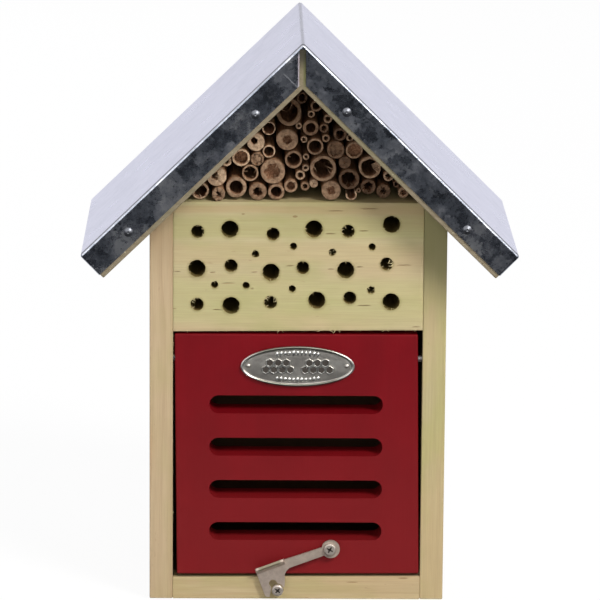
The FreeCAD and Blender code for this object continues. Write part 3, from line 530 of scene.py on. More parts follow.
def metal(name, tone, rough, brush=(3.0, 3.0, 3.0), warm=None, metallic=1.0, recess_shade=(), cloudy=0.0,
          lip=None, dim=None):
    """Worn metal.

    brush: noise frequency per axis, low along the brush marks; warm: tone of warmer patches
    recess_shade: x, z of screw recesses painted dark as shade; cloudy: strength of a broad uneven
    sheen
    lip: x ends of a lip painted greyer as a reflection; dim: |x| span from darker greenish grey to
    plain
    """
    mat = Material(name)
    place = mat.place
    patches = mat.noise(place * 0.35, detail=4.0, rough=0.6)
    grit = mat.noise(place * 2.8, detail=4.0, rough=0.65)
    color = mat.mix(patches.ease((0.3, 0.7)), tone, scaled(tone, 0.82))
    if warm is not None:
        color = mat.mix(patches.ease((0.45, 0.75), to=(0.0, 0.5)), color, warm)
    if cloudy:
        cloud = mat.noise((place + (13.0, 0.0, 5.0)) * (0.085, 0.085, 0.11))
        color = mat.mix(cloud.ease((0.36, 0.64), to=(cloudy, 0.0)), color, scaled(tone, 0.42))
        color = mat.mix(cloud.ease((0.50, 0.72), to=(0.0, cloudy)), color, scaled(tone, 1.5))
    if dim is not None:
        # darker greenish grey towards the middle of the rim, plain tone towards its ends
        ragged = mat.noise(place * 0.35)
        reach = abs(mat.split(place)[0]) + (ragged - 0.5) * 9.0
        color = mat.mix(reach.ease(dim, to=(0.82, 0.0)), color, rgb(118, 120, 104))
    # painted reflection: the lip goes greyer olive, and its two ends keep the plain tone as glints
    if lip:
        x, y, z = mat.split(place)
        lip_reflection = y.ease((-63.05, -63.45)) * (x < 4.0) * (z > 8.0)
        ends = mat.highest([x.ease((lip[0] + 2.4, lip[0] + 1.0)),
                            x.ease((lip[1] - 2.6, lip[1] - 1.2))])
        color = mat.mix(lip_reflection * (0.85 - ends * 0.8), color, rgb(142, 136, 112))
    # painted shade in the screw recesses
    if recess_shade:
        masks = []
        for pit_x, pit_z in recess_shade:
            x, y, z = mat.split(place)
            reach = mat.length(x - pit_x, 0.0, z - pit_z)
            masks.append(reach.ease((2.0, 1.8)) * y.ease((-63.24, -63.05)))
        color = mat.mix(mat.highest(masks) * 0.9, color, rgb(48, 40, 36))
    brushed = mat.noise(place * brush, detail=3.0, rough=0.7)
    roughness = (rough + grit.ease((0.3, 0.75), to=(-0.05, 0.156))
                 + brushed.ease((0.5, 0.8), to=(0.0, 0.10)))
    relief = mat.bump(brushed * 0.5 + grit * 0.5, depth=0.012, strength=0.8)
    return mat.finish(color=color, rough=roughness, metal=metallic, normal=relief)


SHEET = roof_sheet()
ZINC = metal("zinc_nail", rgb(128, 130, 136), rough=0.40)
ZINC_PIN = metal("zinc_pin", rgb(214, 214, 216), rough=0.45, metallic=0.8)
NICKEL = metal("satin_nickel", rgb(206, 190, 176), rough=0.50, brush=(0.25, 3.0, 5.0),
               warm=rgb(196, 176, 162), metallic=0.8, lip=lip_span())
SCREW = metal("screw_nickel", rgb(203, 192, 182), rough=0.50, metallic=0.85,
              recess_shade=[(15.9, 25.3), (-8.9, 5.1)])
BADGE = metal("badge_metal", rgb(220, 215, 207), rough=0.42, brush=(5.0, 1.0, 0.4), cloudy=0.42)
BADGE_RELIEF = metal("badge_relief", rgb(240, 240, 236), rough=0.30, brush=1.0)
BADGE_RECESS = metal("badge_recess", rgb(108, 102, 96), rough=0.6, brush=1.0)
BADGE_RIM = metal("badge_rim", rgb(238, 236, 230), rough=0.34, brush=1.0, dim=(16.0, 24.0))


# ------------------------------------------------------------------ paint, reed and torn fibre
def red_stain():
    """Door stain: dark red with upright grain, lighter towards the bottom as a painted floor
    reflection.
    """
    mat = Material("red_stain")
    place = mat.place
    z = mat.split(place)[2]
    grain = mat.noise(place * (1.5, 1.5, 0.035), detail=4.0, rough=0.6)
    fine = mat.noise(place * (4.0, 4.0, 0.5), detail=3.0, rough=0.6)
    blots = mat.noise(place * (0.045, 0.045, 0.03), detail=3.0, rough=0.55)
    dimples = mat.noise(place * 0.7)
    tone = mat.mix(blots.ease((0.3, 0.7)), rgb(101, 0, 10), rgb(109, 0, 12))
    tone = mat.mix(grain.ease((0.45, 0.75), to=(0.0, 0.16)), tone, rgb(88, 0, 7))
    tone = mat.mix(fine.ease((0.66, 0.82), to=(0.0, 0.14)), tone, rgb(126, 12, 18))
    # painted reflection of the floor: lighter, greyer red towards the bottom
    tone = mat.mix(z.ease((128.0, 20.0)) * 0.45, tone, rgb(118, 30, 30))
    relief = grain * 0.8 + dimples * 0.5 + fine * 0.25
    return mat.finish(color=tone, rough=grain.ease((0.3, 0.7), to=(0.46, 0.58)),
                      normal=mat.bump(relief, depth=0.04, strength=0.6), spec=0.16)


def reed_base(name):
    """A reed material, the stem's tint with its painted shade, and a position shifted from stem to
    stem.
    """
    mat = Material(name)
    node = mat.add("ShaderNodeAttribute")
    node.attribute_name = "tint"
    tint = Value(mat, node.outputs["Fac"])
    return mat, tint, mat.place + mat.combine(tint * 300.0, 0.0, tint * 170.0)


def reed_tone(mat, tint, strength, green, blue):
    """A straw colour: red follows the tint; green and blue are spans of its share."""
    red = tint * strength
    return mat.combine(red, red * tint.ease((0.06, 0.40), to=green),
                       red * tint.ease((0.06, 0.40), to=blue))


def reed_skin():
    """Outer skin: straw with fibres along the stem."""
    mat, tint, place = reed_base("reed_skin")
    streaks = mat.noise(place * (2.2, 0.05, 2.2), detail=4.0, rough=0.6)
    blots = mat.noise(place * (0.3, 0.06, 0.3), detail=3.0, rough=0.6)
    tint = tint * 0.60 + 0.13
    tone = mat.mix(streaks.ease((0.3, 0.7)),
                   reed_tone(mat, tint, 0.85, green=(0.44, 0.54), blue=(0.20, 0.28)),
                   reed_tone(mat, tint, 1.55, green=(0.52, 0.62), blue=(0.26, 0.36)))
    tone = mat.mix(blots.ease((0.5, 0.75), to=(0.0, 0.5)), tone,
                   reed_tone(mat, tint, 0.70, green=(0.42, 0.52), blue=(0.18, 0.26)))
    return mat.finish(color=tone, rough=streaks.ease((0.3, 0.7), to=(0.62, 0.48)),
                      normal=mat.bump(streaks, depth=0.06, strength=0.8), spec=0.3)


def reed_end():
    """Cut end: pale, porous and mottled."""
    mat, tint, place = reed_base("reed_end")
    pores = mat.voronoi(place * (1.7, 0.7, 1.7))
    broad = mat.noise(place * (0.62, 0.5, 0.62), detail=4.0, rough=0.62)
    fine = mat.noise(place * (1.9, 1.2, 1.9), detail=3.0, rough=0.6)
    tone = mat.mix(broad.ease((0.30, 0.70)),
                   reed_tone(mat, tint, 0.58, green=(0.55, 0.65), blue=(0.31, 0.41)),
                   reed_tone(mat, tint, 1.30, green=(0.58, 0.72), blue=(0.33, 0.47)))
    tone = mat.mix(fine.ease((0.52, 0.78), to=(0.0, 0.75)), tone,
                   reed_tone(mat, tint, 0.36, green=(0.50, 0.58), blue=(0.28, 0.36)))
    tone = mat.mix(pores.ease((0.30, 0.10), to=(0.0, 0.45)), tone,
                   reed_tone(mat, tint, 0.34, green=(0.46, 0.56), blue=(0.24, 0.34)))
    tone = mat.mix(fine.ease((0.40, 0.24), to=(0.0, 0.40)), tone,
                   reed_tone(mat, tint, 1.8, green=(0.64, 0.76), blue=(0.42, 0.54)))
    relief = mat.bump(pores * 0.6 + fine * 0.9, depth=0.16, strength=0.9)
    return mat.finish(color=tone, rough=0.82, normal=relief, spec=0.15)


def reed_bore():
    """Bore: darker and papery."""
    mat, tint, place = reed_base("reed_bore")
    streaks = mat.noise(place * (1.6, 0.12, 1.6), detail=4.0, rough=0.6)
    tint = tint * 0.60 + 0.12
    tone = mat.mix(streaks.ease((0.35, 0.75), to=(1.0, 0.0)),
                   reed_tone(mat, tint, 1.35, green=(0.50, 0.60), blue=(0.27, 0.37)),
                   reed_tone(mat, tint, 0.66, green=(0.42, 0.52), blue=(0.19, 0.28)))
    return mat.finish(color=tone, rough=0.85, spec=0.12,
                      normal=mat.bump(streaks, depth=0.1, strength=0.9))


def torn_fibre():
    mat = Material("torn_fibre")
    grain = mat.noise(mat.place * 2.5, detail=3.0, rough=0.6)
    return mat.finish(color=mat.mix(grain, rgb(150, 134, 92), rgb(206, 192, 150)), rough=0.7,
                      normal=mat.bump(grain, depth=0.05, strength=0.8), spec=0.2)


RED = red_stain()
REED = [reed_skin(), reed_end(), reed_bore()]
SKIN, END, BORE = range(3)          # slots of REED
FIBRE = torn_fibre()

# CAD nodes that keep their shape
PAINTED = [
    (PINE_LEFT, ["left_side_board"]),
    (PINE_RIGHT, ["right_side_board"]),
    (PINE_BOTTOM, ["bottom_board"]),
    (PINE_BACK, ["back_board"]),
    (BLOCK, ["nest_block"]),
    (ROOF_WOOD, ["left_roof_board", "right_roof_board"]),
    (SHEET, ["roof_sheet"]),
    (ZINC, ["roof_sheet_nails", "roof_board_nails", "side_board_nails"]),
    (ZINC_PIN, ["door_pivot_nail_left", "door_pivot_nail_right"]),
    (NICKEL, ["latch_hook", "latch_washer", "hanger_plate"]),
    (SCREW, ["latch_pivot_screw", "latch_catch_screw", "hanger_screws"]),
    (RED, ["door_panel"]),
    (BADGE, ["badge_plate", "badge_pins"])]
for material, node_names in PAINTED:
    for node_name in node_names:
        slots = NODES[node_name].data.materials
        slots.clear()
        slots.append(material)


# ------------------------------------------------------------------ mesh builder
def perlin(x, y, z):
    return noise.noise(Vector((x, y, z)))


def clamp(value, low, high):
    return max(low, min(high, value))


def around(x, z, radius, angle, y):
    """A point at an angle round a line through (x, z) that runs along Y."""
    return (x + radius * math.cos(angle), y, z + radius * math.sin(angle))


def oval(x, z, half_width, half_height, y, count, turn=0.0):
    angles = [2 * PI * i / count + turn for i in range(count)]
    return [(x + half_width * math.cos(angle), y, z + half_height * math.sin(angle))
            for angle in angles]


class Shell:
    """Gathers the points, faces and material slots of one mesh."""

    def __init__(self):
        self.points, self.faces, self.slots = [], [], []

    def add(self, points):
        """Adds points and returns the index of the first."""
        start = len(self.points)
        self.points += points
        return start

    def face(self, corners, slot=0):
        self.faces.append(tuple(corners))
        self.slots.append(slot)

    def bridge(self, first, second, count, slot=0, flip=False):
        """Joins two closed rings of equal count."""
        for i in range(count):
            a, b = i, (i + 1) % count
            if flip:
                a, b = b, a
            self.face((first + a, first + b, second + b, second + a), slot)

    def fan(self, ring, count, tip, slot=0, flip=False):
        """Closes a ring onto a new point at the tip."""
        centre = self.add([tip])
        for i in range(count):
            a, b = ring + i, ring + (i + 1) % count
            self.face((b, a, centre) if flip else (a, b, centre), slot)

    def fibre(self, start, bend, end, radius, slot=0):
        """A thin tapered strand, closed at both ends, curved towards the bend point."""
        steps = 5
        start, bend, end = Vector(start), Vector(bend), Vector(end)
        line = []
        for i in range(steps + 1):
            t = i / steps
            line.append((1 - t) ** 2 * start + 2 * t * (1 - t) * bend + t * t * end)
        previous = None
        for i, point in enumerate(line):
            ahead = (line[min(i + 1, steps)] - line[max(i - 1, 0)]).normalized()
            side = ahead.cross(Vector((0.3, 1, 0.2))).normalized()
            up = side.cross(ahead)
            thick = radius * (1.0 - 0.85 * i / steps)
            angles = [2 * PI * k / 4 + 0.4 for k in range(4)]
            ring = self.add([point + side * math.cos(angle) * thick * 1.5
                             + up * math.sin(angle) * thick * 0.7 for angle in angles])
            if previous is not None:
                self.bridge(previous, ring, 4, slot)
            previous = ring
        first = ring - 4 * steps
        self.face((first + 3, first + 2, first + 1, first), slot)
        self.face(range(ring, ring + 4), slot)

    def make(self, name, materials, body, slot, replaced=None):
        mesh = bpy.data.meshes.new(name)
        mesh.from_pydata([Vector(point) * MM for point in self.points], [], self.faces)
        for material in materials:
            mesh.materials.append(material)
        mesh.polygons.foreach_set("material_index", self.slots)
        mesh.polygons.foreach_set("use_smooth", [True] * len(self.faces))
        mesh.validate()
        mesh.update()
        piece = bpy.data.objects.new(name, mesh)
        scene.collection.objects.link(piece)
        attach(piece, body)
        if replaced:
            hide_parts(replaced)
        return piece


def sharpen(piece, degrees):
    """Hard edges where faces meet at more than the angle, smooth elsewhere."""
    bm = bmesh.new()
    bm.from_mesh(piece.data)
    for edge in bm.edges:
        if len(edge.link_faces) == 2 and edge.calc_face_angle(0.0) > math.radians(degrees):
            edge.smooth = False
    bm.to_mesh(piece.data)
    bm.free()
    piece.data.update()


# ------------------------------------------------------------------ reed stems
# The tint is the straw colour, set darker as painted shade where the roof shadows the stems.
# Look of the stem nearest to each place: x, z, bore radius as a share of the stem's, tint, extras.
# Extras: lump (unevenness of the bore), rag (unevenness of the front end), strands (loose strands
# in the bore), plug (depth at which the bore is closed), shift (bore centre, in stem radii), tilt
# (slope of the cut and its angle in degrees), square bore, flap of strands, solid end, and half (a
# split stem). The row number seeds the stem's random draws.
LOOKS = [
    (24.70, 195.78, 0.74, 0.74, dict(half=True)),
    (-46.39, 197.34, 0.72, 0.36, dict(lump=0.16, rag=0.7, strands=5)),
    (-37.72, 196.35, 0.40, 0.24, dict(lump=0.55, rag=1.3, strands=7)),
    (-29.40, 199.18, 0.64, 0.28, dict(lump=0.04)),
    (-19.30, 197.35, 0.50, 0.20, dict(lump=0.34, rag=0.35, strands=3)),
    (-10.62, 197.08, 0.65, 0.22, dict(lump=0.03)),
    (-3.81, 199.88, 0.62, 0.23, dict(lump=0.05, plug=6.0)),
    (2.91, 199.59, 0.52, 0.20, dict(lump=0.10)),
    (6.99, 201.07, 0.12, 0.29, dict(solid=True)),
    (15.12, 198.16, 0.42, 0.20, dict(lump=0.12, square=True, plug=3.0)),
    (28.12, 197.73, 0.4, 0.19, {}),
    (32.61, 199.68, 0.55, 0.10, dict(lump=0.4, rag=0.9, strands=3)),
    (39.77, 197.64, 0.42, 0.11, dict(lump=0.5, rag=0.9, strands=5)),
    (45.76, 200.83, 0.5, 0.09, {}),
    (49.11, 197.09, 0.50, 0.22, dict(lump=0.1, plug=4.0)),
    (-38.64, 204.37, 0.36, 0.44, dict(lump=0.45, rag=0.9, strands=5, shift=(-0.25, 0.1))),
    (-22.90, 206.05, 0.76, 0.26, dict(lump=0.05, strands=4)),
    (-12.32, 206.97, 0.58, 0.22, dict(lump=0.22, rag=0.25, strands=5, plug=5.0)),
    (0.64, 204.84, 0.56, 0.31, dict(lump=0.12)),
    (23.54, 203.43, 0.68, 0.10, dict(lump=0.20, strands=4)),
    (42.02, 204.76, 0.5, 0.31, dict(lump=0.3, rag=0.5)),
    (-33.93, 211.30, 0.5, 0.54, dict(lump=0.3, rag=0.6)),
    (-27.22, 213.42, 0.73, 0.46, dict(lump=0.05, rag=0.4, plug=9.0)),
    (-19.62, 212.77, 0.70, 0.22, dict(lump=0.2, rag=1.4, plug=2.0)),
    (-2.59, 212.56, 0.71, 0.20, dict(lump=0.06, strands=2)),
    (3.14, 208.32, 0.5, 0.34, {}),
    (3.29, 213.67, 0.5, 0.29, {}),
    (11.31, 208.51, 0.72, 0.22, dict(lump=0.12, strands=5)),
    (21.46, 211.17, 0.12, 0.11, dict(solid=True)),
    (33.24, 209.06, 0.74, 0.24, dict(lump=0.06, flap=True)),
    (-14.15, 216.27, 0.75, 0.42, dict(lump=0.04)),
    (7.53, 218.78, 0.73, 0.24, dict(lump=0.03)),
    (17.15, 217.39, 0.66, 0.13, dict(lump=0.25, strands=3, plug=1.6)),
    (25.84, 217.11, 0.73, 0.20, dict(lump=0.08, strands=3, plug=4.0)),
    (-20.36, 220.84, 0.36, 0.40, dict(lump=0.16, shift=(-0.18, 0.16))),
    (-5.64, 222.23, 0.38, 0.22, dict(lump=0.22, strands=1, plug=5.0)),
    (2.27, 221.90, 0.5, 0.32, dict(lump=0.3, rag=0.6)),
    (12.54, 222.54, 0.5, 0.23, {}),
    (19.19, 224.60, 0.6, 0.10, dict(lump=0.2)),
    (23.85, 222.78, 0.5, 0.29, {}),
    (-14.24, 227.29, 0.84, 0.54, dict(lump=0.08, rag=0.8)),
    (-0.18, 228.33, 0.4, 0.27, {}),
    (5.36, 227.71, 0.60, 0.16, dict(lump=0.05)),
    (11.59, 227.44, 0.5, 0.13, dict(lump=0.2)),
    (13.43, 231.78, 0.5, 0.25, dict(lump=0.2)),
    (-4.97, 234.82, 0.68, 0.20, dict(lump=0.08, tilt=(0.62, 100), strands=3)),
    (5.58, 233.95, 0.5, 0.26, {}),
    (7.85, 237.98, 0.6, 0.17, dict(lump=0.1)),
    (1.27, 241.53, 0.6, 0.10, dict(lump=0.1, rag=0.8, tilt=(0.7, 70)))]


def solids(node):
    """The separate stems of a CAD node: centre x, centre z, radius, front y, back y."""
    bm = bmesh.new()
    bm.from_mesh(NODES[node].data)
    bmesh.ops.remove_doubles(bm, verts=bm.verts, dist=1e-6)
    bm.verts.ensure_lookup_table()
    seen, found = set(), []
    for vertex in bm.verts:
        if vertex.index in seen:
            continue
        seen.add(vertex.index)
        stack, points = [vertex], []
        while stack:
            current = stack.pop()
            points.append(current.co.copy())
            for edge in current.link_edges:
                other = edge.other_vert(current)
                if other.index not in seen:
                    seen.add(other.index)
                    stack.append(other)
        low = [min(point[i] for point in points) * 1000 for i in range(3)]
        high = [max(point[i] for point in points) * 1000 for i in range(3)]
        found.append(((low[0] + high[0]) / 2, (low[2] + high[2]) / 2, (high[0] - low[0]) / 2,
                      low[1], high[1]))
    bm.free()
    # shells that share a centre are one stem; the widest stands for it
    stems = []
    for shell in sorted(found, key=lambda entry: -entry[2]):
        if not any(abs(stem[0] - shell[0]) < 0.05 and abs(stem[1] - shell[1]) < 0.05
                   for stem in stems):
            stems.append(shell)
    return sorted(stems)


def whole_stem(x, z, radius, front, back, bore, seed, lump=None, rag=None, strands=None,
               plug=None, shift=(0.0, 0.0), tilt=None, square=False, flap=False, solid=False):
    """A round stem with a rough cut end and a bore."""
    rnd = random.Random(1000 + seed)
    count = clamp(int(2 * PI * radius / 0.32), 32, 84)
    flatten, flatten_angle = rnd.uniform(0.004, 0.022), rnd.uniform(0, PI)
    slope, slope_angle = rnd.uniform(0.0, 0.09), rnd.uniform(0, 2 * PI)
    if tilt:
        slope, slope_angle = tilt[0], math.radians(tilt[1])
    small = radius < 2.45
    if rag is None:
        rag = 0.55 if small else 0.16
    if lump is None:
        lump = 0.22 if small else 0.07
    if strands is None:
        strands = 2 if small else 0
    edge = min(0.30, 0.11 * radius)         # rounding of the outer rim
    bore_x, bore_z = (part * radius for part in shift)
    seed_x, seed_z = rnd.uniform(0, 50), rnd.uniform(0, 50)
    ribs = rnd.randint(18, 30)
    shell = Shell()

    def wobble(angle, y, scale=1.0, offset=0.0):
        return perlin(math.cos(angle) * scale + seed_x + offset, y,
                      math.sin(angle) * scale + seed_z)

    def outer(angle, y):
        result = radius * (0.988 - flatten + flatten * math.cos(2 * (angle - flatten_angle)))
        result *= 1.0 + 0.004 * math.sin(ribs * angle + 0.3 * wobble(angle, y * 0.02))
        return result * (1.0 - 0.012 * (0.5 + 0.5 * wobble(angle, y * 0.03, 1.4, 9.0)))

    def rim(angle):
        y = front + radius * slope * (1 + math.cos(angle - slope_angle))
        y += rag * (0.55 + 0.9 * wobble(angle, 0.0, 2.0, 3.0))
        y += rag * 0.45 * abs(wobble(angle, 2.0, 5.5, 7.0))
        return max(y, front)

    def inner(angle, depth):
        fade = math.exp(-depth / 4.0)
        share = 1.0 + lump * (0.25 + 0.75 * fade) * 1.5 * wobble(angle, depth * 0.25, 1.9, 21.0)
        share += lump * fade * 0.6 * wobble(angle, depth * 0.6, 4.6, 33.0)
        if square:
            share *= 0.86 / max(math.cos((angle + 0.5) % (PI / 2) - PI / 4), 0.7)
        return clamp(radius * bore * share, 0.05 * radius, radius * 0.90)

    last = None

    def ring(place, slot=SKIN, centred=0.0):
        """Adds a ring from place(angle) -> radius, y; centred is its share of the bore's shift."""
        nonlocal last
        points = []
        for i in range(count):
            angle = 2 * PI * i / count
            reach, y = place(angle)
            points.append(around(x + bore_x * centred, z + bore_z * centred, reach, angle, y))
        start = shell.add(points)
        if last is not None:
            shell.bridge(last, start, count, slot)
        last = start

    # skin, from the back to the rim
    ring(lambda a: (outer(a, back) * 0.97, back))
    ring(lambda a: (outer(a, back), back - 0.15))
    for share in (0.75, 0.5, 0.3, 0.18):
        y = front + (back - front) * share
        ring(lambda a: (outer(a, y), y))
    for off in (9.0, 4.0, 1.6, 0.75, edge):
        ring(lambda a: (outer(a, front + off), rim(a) + off))
    # cut end
    for inset, off in ((0.13, 0.50), (0.50, 0.13)):
        ring(lambda a: (outer(a, front) - inset * edge, rim(a) + off * edge), END)
    steps = max(2, int(radius * (0.97 - bore) / 0.55))
    for step in range(1, steps + 1):
        t = step / (steps + 1)
        ring(lambda a: ((outer(a, front) - edge) * (1 - t) + (inner(a, 0.0) + 0.10) * t,
                        rim(a) + 0.10 * wobble(a, t * 7, 6.0, 40.0)
                        + 0.05 * math.sin(ribs * a * 0.5 + t * 9)), END, t)
    ring(lambda a: (inner(a, 0.0) + 0.03, rim(a) + 0.08), END, 1.0)
    # bore
    depth = plug or (1.2 if solid else 60.0)
    depths = [d for d in (0.28, 0.7, 1.6, 3.2, 6.0, 12.0, 24.0) if d < depth - 0.1] + [depth]
    for d in depths:
        near = math.exp(-d / 3.0)
        ring(lambda a: (inner(a, d), rim(a) * near + front * (1 - near) + d), BORE, 0.9)
    floor_slot = BORE if not plug or plug > 2.5 else END
    for t, lift in ((0.6, -0.25), (0.25, -0.4)):
        ring(lambda a: (inner(a, depth) * t,
                        front + depth + lift + 0.35 * wobble(a, 3.0, 2.0 + t, 55.0)),
             floor_slot, 0.9)
    shell.fan(last, count, (x + bore_x * 0.9, front + depth - 0.45, z + bore_z * 0.9), floor_slot)
    shell.fan(0, count, (x, back, z), END, flip=True)

    # loose strands in the mouth of the bore
    for _ in range(strands):
        angle = rnd.uniform(0, 2 * PI)
        reach = inner(angle, 0.5)
        end_angle = angle + rnd.uniform(-0.9, 0.9)
        end_reach = reach * rnd.uniform(0.15, 0.8)
        y = rim(angle) + rnd.uniform(0.1, 1.2)
        start = around(x + bore_x, z + bore_z, reach + 0.12, angle, y)
        end = around(x + bore_x, z + bore_z, end_reach, end_angle, y + rnd.uniform(-0.4, 1.8))
        bend = [(p + q) / 2 + rnd.uniform(-0.3, 0.3) for p, q in zip(start, end)]
        bend[1] = max(bend[1], front - 0.2)
        shell.fibre(start, bend, end, rnd.uniform(0.09, 0.2) * (0.6 + radius / 8), END)
    if flap:
        for k in range(5):
            angle = -0.5 + k * 0.28
            reach = inner(angle, 0.3)
            shell.fibre(
                around(x, z, reach + 0.2, angle, front + 0.5),
                (x + reach * 0.6 * math.cos(angle + 0.1), front + 0.4,
                 z + reach * 0.6 * math.sin(angle + 0.2)),
                (x + reach * 0.25 * math.cos(angle + 0.3), front + 1.5,
                 z + reach * 0.35 * math.sin(angle + 0.4)), 0.42, END)
    return shell


def half_stem(x, z, radius, front, back, bore, seed):
    """A split stem: a trough open at the top, torn at its front end."""
    rnd = random.Random(500 + seed)
    shell = Shell()
    start_angle, end_angle, steps = math.radians(172), math.radians(398), 34
    inner = radius * bore
    count = 2 * (steps + 1)
    # out along the skin, across one lip, back along the bore and across the other lip
    slots = [SKIN] * steps + [END] + [BORE] * steps + [END]
    rings = []
    for y in (back, front + 60, front + 25, front + 10, front + 4, front + 1.5, front):
        torn = math.exp(-(y - front) / 1.5)
        points = []
        for reach, order, layer in ((radius * 0.985, range(steps + 1), 0),
                                    (inner, range(steps, -1, -1), 4)):
            for k in order:
                angle = start_angle + (end_angle - start_angle) * k / steps
                push = torn * (0.5 + 0.8 * perlin(k * 0.35, seed, layer))
                points.append(around(x, z, reach, angle, y + push))
        rings.append(shell.add(points))
        if len(rings) > 1:
            shell.bridge(rings[-2], rings[-1], count)
            shell.slots[-count:] = slots
    for ring, flip in ((rings[0], True), (rings[-1], False)):
        for k in range(steps):
            corners = (ring + k, ring + k + 1, ring + count - 2 - k, ring + count - 1 - k)
            shell.face(corners[::-1] if flip else corners, END)
    for _ in range(4):
        angle = start_angle + (end_angle - start_angle) * rnd.uniform(0.1, 0.9)
        px, _, pz = around(x, z, (radius + inner) / 2, angle, front)
        shell.fibre((px, front + 0.8, pz), (px, front - 0.1, pz + 0.1),
                    (px + rnd.uniform(-0.4, 0.4), front - 0.2, pz + rnd.uniform(0.0, 0.5)),
                    0.16, END)
    return shell


def build_stem(name, node, x, z, *size):
    seed = min(range(len(LOOKS)),
               key=lambda i: (LOOKS[i][0] - x) ** 2 + (LOOKS[i][1] - z) ** 2)
    bore, tint, extras = LOOKS[seed][2:]
    if "half" in extras:
        shell = half_stem(x, z, *size, bore, seed)
    else:
        shell = whole_stem(x, z, *size, bore, seed, **extras)
    mesh = shell.make(name, REED, "carcass", "reed", node).data
    attribute = mesh.attributes.new("tint", "FLOAT", "POINT")
    attribute.data.foreach_set("value", [tint] * len(mesh.vertices))


for node in sorted(NODES):
    if node.startswith(("reed_", "thin_reeds")):
        label = "stem_" + node.replace("thin_reeds_", "thin_").replace("reed_", "")
        for number, solid in enumerate(solids(node), 1):
            suffix = "_%d" % number if node.startswith("thin") else ""
            build_stem(label + suffix, node, *solid)

# ------------------------------------------------------------------ drilled block
WOOD, DRILL, TORN = range(3)        # material slots of the block
# chips out of a hole's rim: hole number, angle in degrees, half width in degrees, depth
CHIPS = [
    (8, 262, 16, 0.7), (8, 300, 9, 0.4), (11, 285, 18, 0.6), (11, 15, 12, 0.4),
    (14, 120, 14, 0.45), (12, 215, 18, 0.5), (4, 175, 16, 0.45), (0, 95, 12, 0.3),
    (1, 30, 10, 0.3), (2, 240, 12, 0.4), (3, 350, 10, 0.3), (5, 200, 12, 0.35),
    (6, 80, 12, 0.3), (9, 140, 14, 0.4), (10, 60, 10, 0.3), (13, 310, 12, 0.35),
    (15, 100, 12, 0.35), (16, 20, 12, 0.35), (17, 240, 10, 0.35), (7, 330, 14, 0.35),
    (25, 40, 24, 0.9), (25, 100, 20, 0.7), (25, 160, 22, 0.8), (25, 225, 22, 0.8),
    (25, 320, 20, 0.9), (20, 250, 26, 0.5), (20, 10, 24, 0.45), (18, 100, 24, 0.4),
    (18, 330, 22, 0.4), (22, 60, 26, 0.35), (23, 350, 24, 0.3), (24, 130, 26, 0.3),
    (19, 280, 24, 0.3), (20, 60, 24, 0.35), (18, 220, 20, 0.3), (21, 300, 22, 0.3)]
# outline corners seen from the front, each with the side that follows it:
# x, z, steps along the side, inward push of its roughness in x and z
OUTLINE = [
    (-58.98, 130.57, 78, 0, 1.7), (58.98, 131.6, 40, -0.8, 0), (58.98, 192.98, 76, 0, -0.8),
    (-57.25, 192.98, 2, 0, -0.8), (-58.98, 191.25, 38, 0.8, 0)]
# rings from front to back: inset, y, roughness
BLOCK_RINGS = [
    (0.5, FRONT_Y, 0.45), (0.14, -58.86, 0.25), (0.0, -58.5, 0.0), (0.0, 49.5, 0.0),
    (0.5, 49.99, 0.0)]
# torn strands on the front face: x, z, angle in degrees, length, radius
FACE_STRANDS = [
    (-21.3, 166.9, 40, 1.1, 0.10), (15.2, 167.7, 75, 1.6, 0.12), (-20.6, 169.8, 262, 0.7, 0.08),
    (14.4, 169.3, 10, 0.9, 0.10), (17.3, 168.4, 160, 0.9, 0.09), (34.3, 149.5, 90, 1.0, 0.10),
    (33.0, 151.6, 350, 0.9, 0.08), (35.6, 151.2, 190, 0.8, 0.08), (-39.9, 154.8, 300, 1.2, 0.12),
    (42.9, 165.4, 235, 1.8, 0.2), (44.6, 163.4, 200, 2.4, 0.22), (39.2, 162.0, 30, 1.2, 0.14),
    (-49.9, 144.9, 330, 1.3, 0.16), (-49.2, 146.0, 310, 1.1, 0.14), (-11.4, 147.2, 260, 1.4, 0.16),
    (-14.9, 142.9, 30, 1.2, 0.14), (21.6, 181.4, 300, 1.2, 0.14), (25.6, 180.4, 200, 1.0, 0.12),
    (16.6, 170.4, 250, 0.9, 0.08), (34.0, 152.9, 110, 0.9, 0.09), (35.8, 152.2, 40, 0.9, 0.09),
    (33.0, 149.7, 215, 1.2, 0.14), (35.4, 149.6, 320, 1.1, 0.12), (44.4, 164.2, 185, 2.0, 0.22),
    (44.2, 162.6, 170, 1.5, 0.16), (42.6, 160.6, 95, 1.0, 0.14), (-15.4, 146.9, 310, 1.9, 0.2),
    (-15.0, 147.3, 340, 1.6, 0.16), (-10.2, 145.8, 200, 1.7, 0.18), (-49.8, 141.7, 40, 1.5, 0.18),
    (-13.2, 155.3, 70, 1.1, 0.16), (20.2, 179.6, 20, 1.3, 0.16), (20.3, 178.2, 350, 1.0, 0.12),
    (-45.0, 180.3, 200, 0.9, 0.1), (2.0, 164.6, 280, 1.0, 0.12), (22.0, 164.5, 300, 1.0, 0.12)]
# torn strands on the lower edge: x, angle in degrees, length, radius
EDGE_STRANDS = [
    (-52.0, 250, 1.0, 0.09), (-47.0, 290, 0.8, 0.08), (-38.0, 270, 0.9, 0.08),
    (-9.0, 235, 1.6, 0.15), (-7.6, 300, 1.3, 0.13), (10.8, 200, 2.2, 0.14),
    (14.6, 330, 2.4, 0.16), (17.6, 240, 1.7, 0.18), (19.2, 300, 1.4, 0.14),
    (29.5, 260, 0.9, 0.1), (40.8, 220, 1.4, 0.16), (42.0, 315, 1.3, 0.13),
    (51.0, 265, 0.9, 0.09), (55.5, 240, 1.1, 0.12)]


def edge_rise(x):
    """How far the lower edge has climbed from the left side."""
    return 0.0087 * (x + 59)


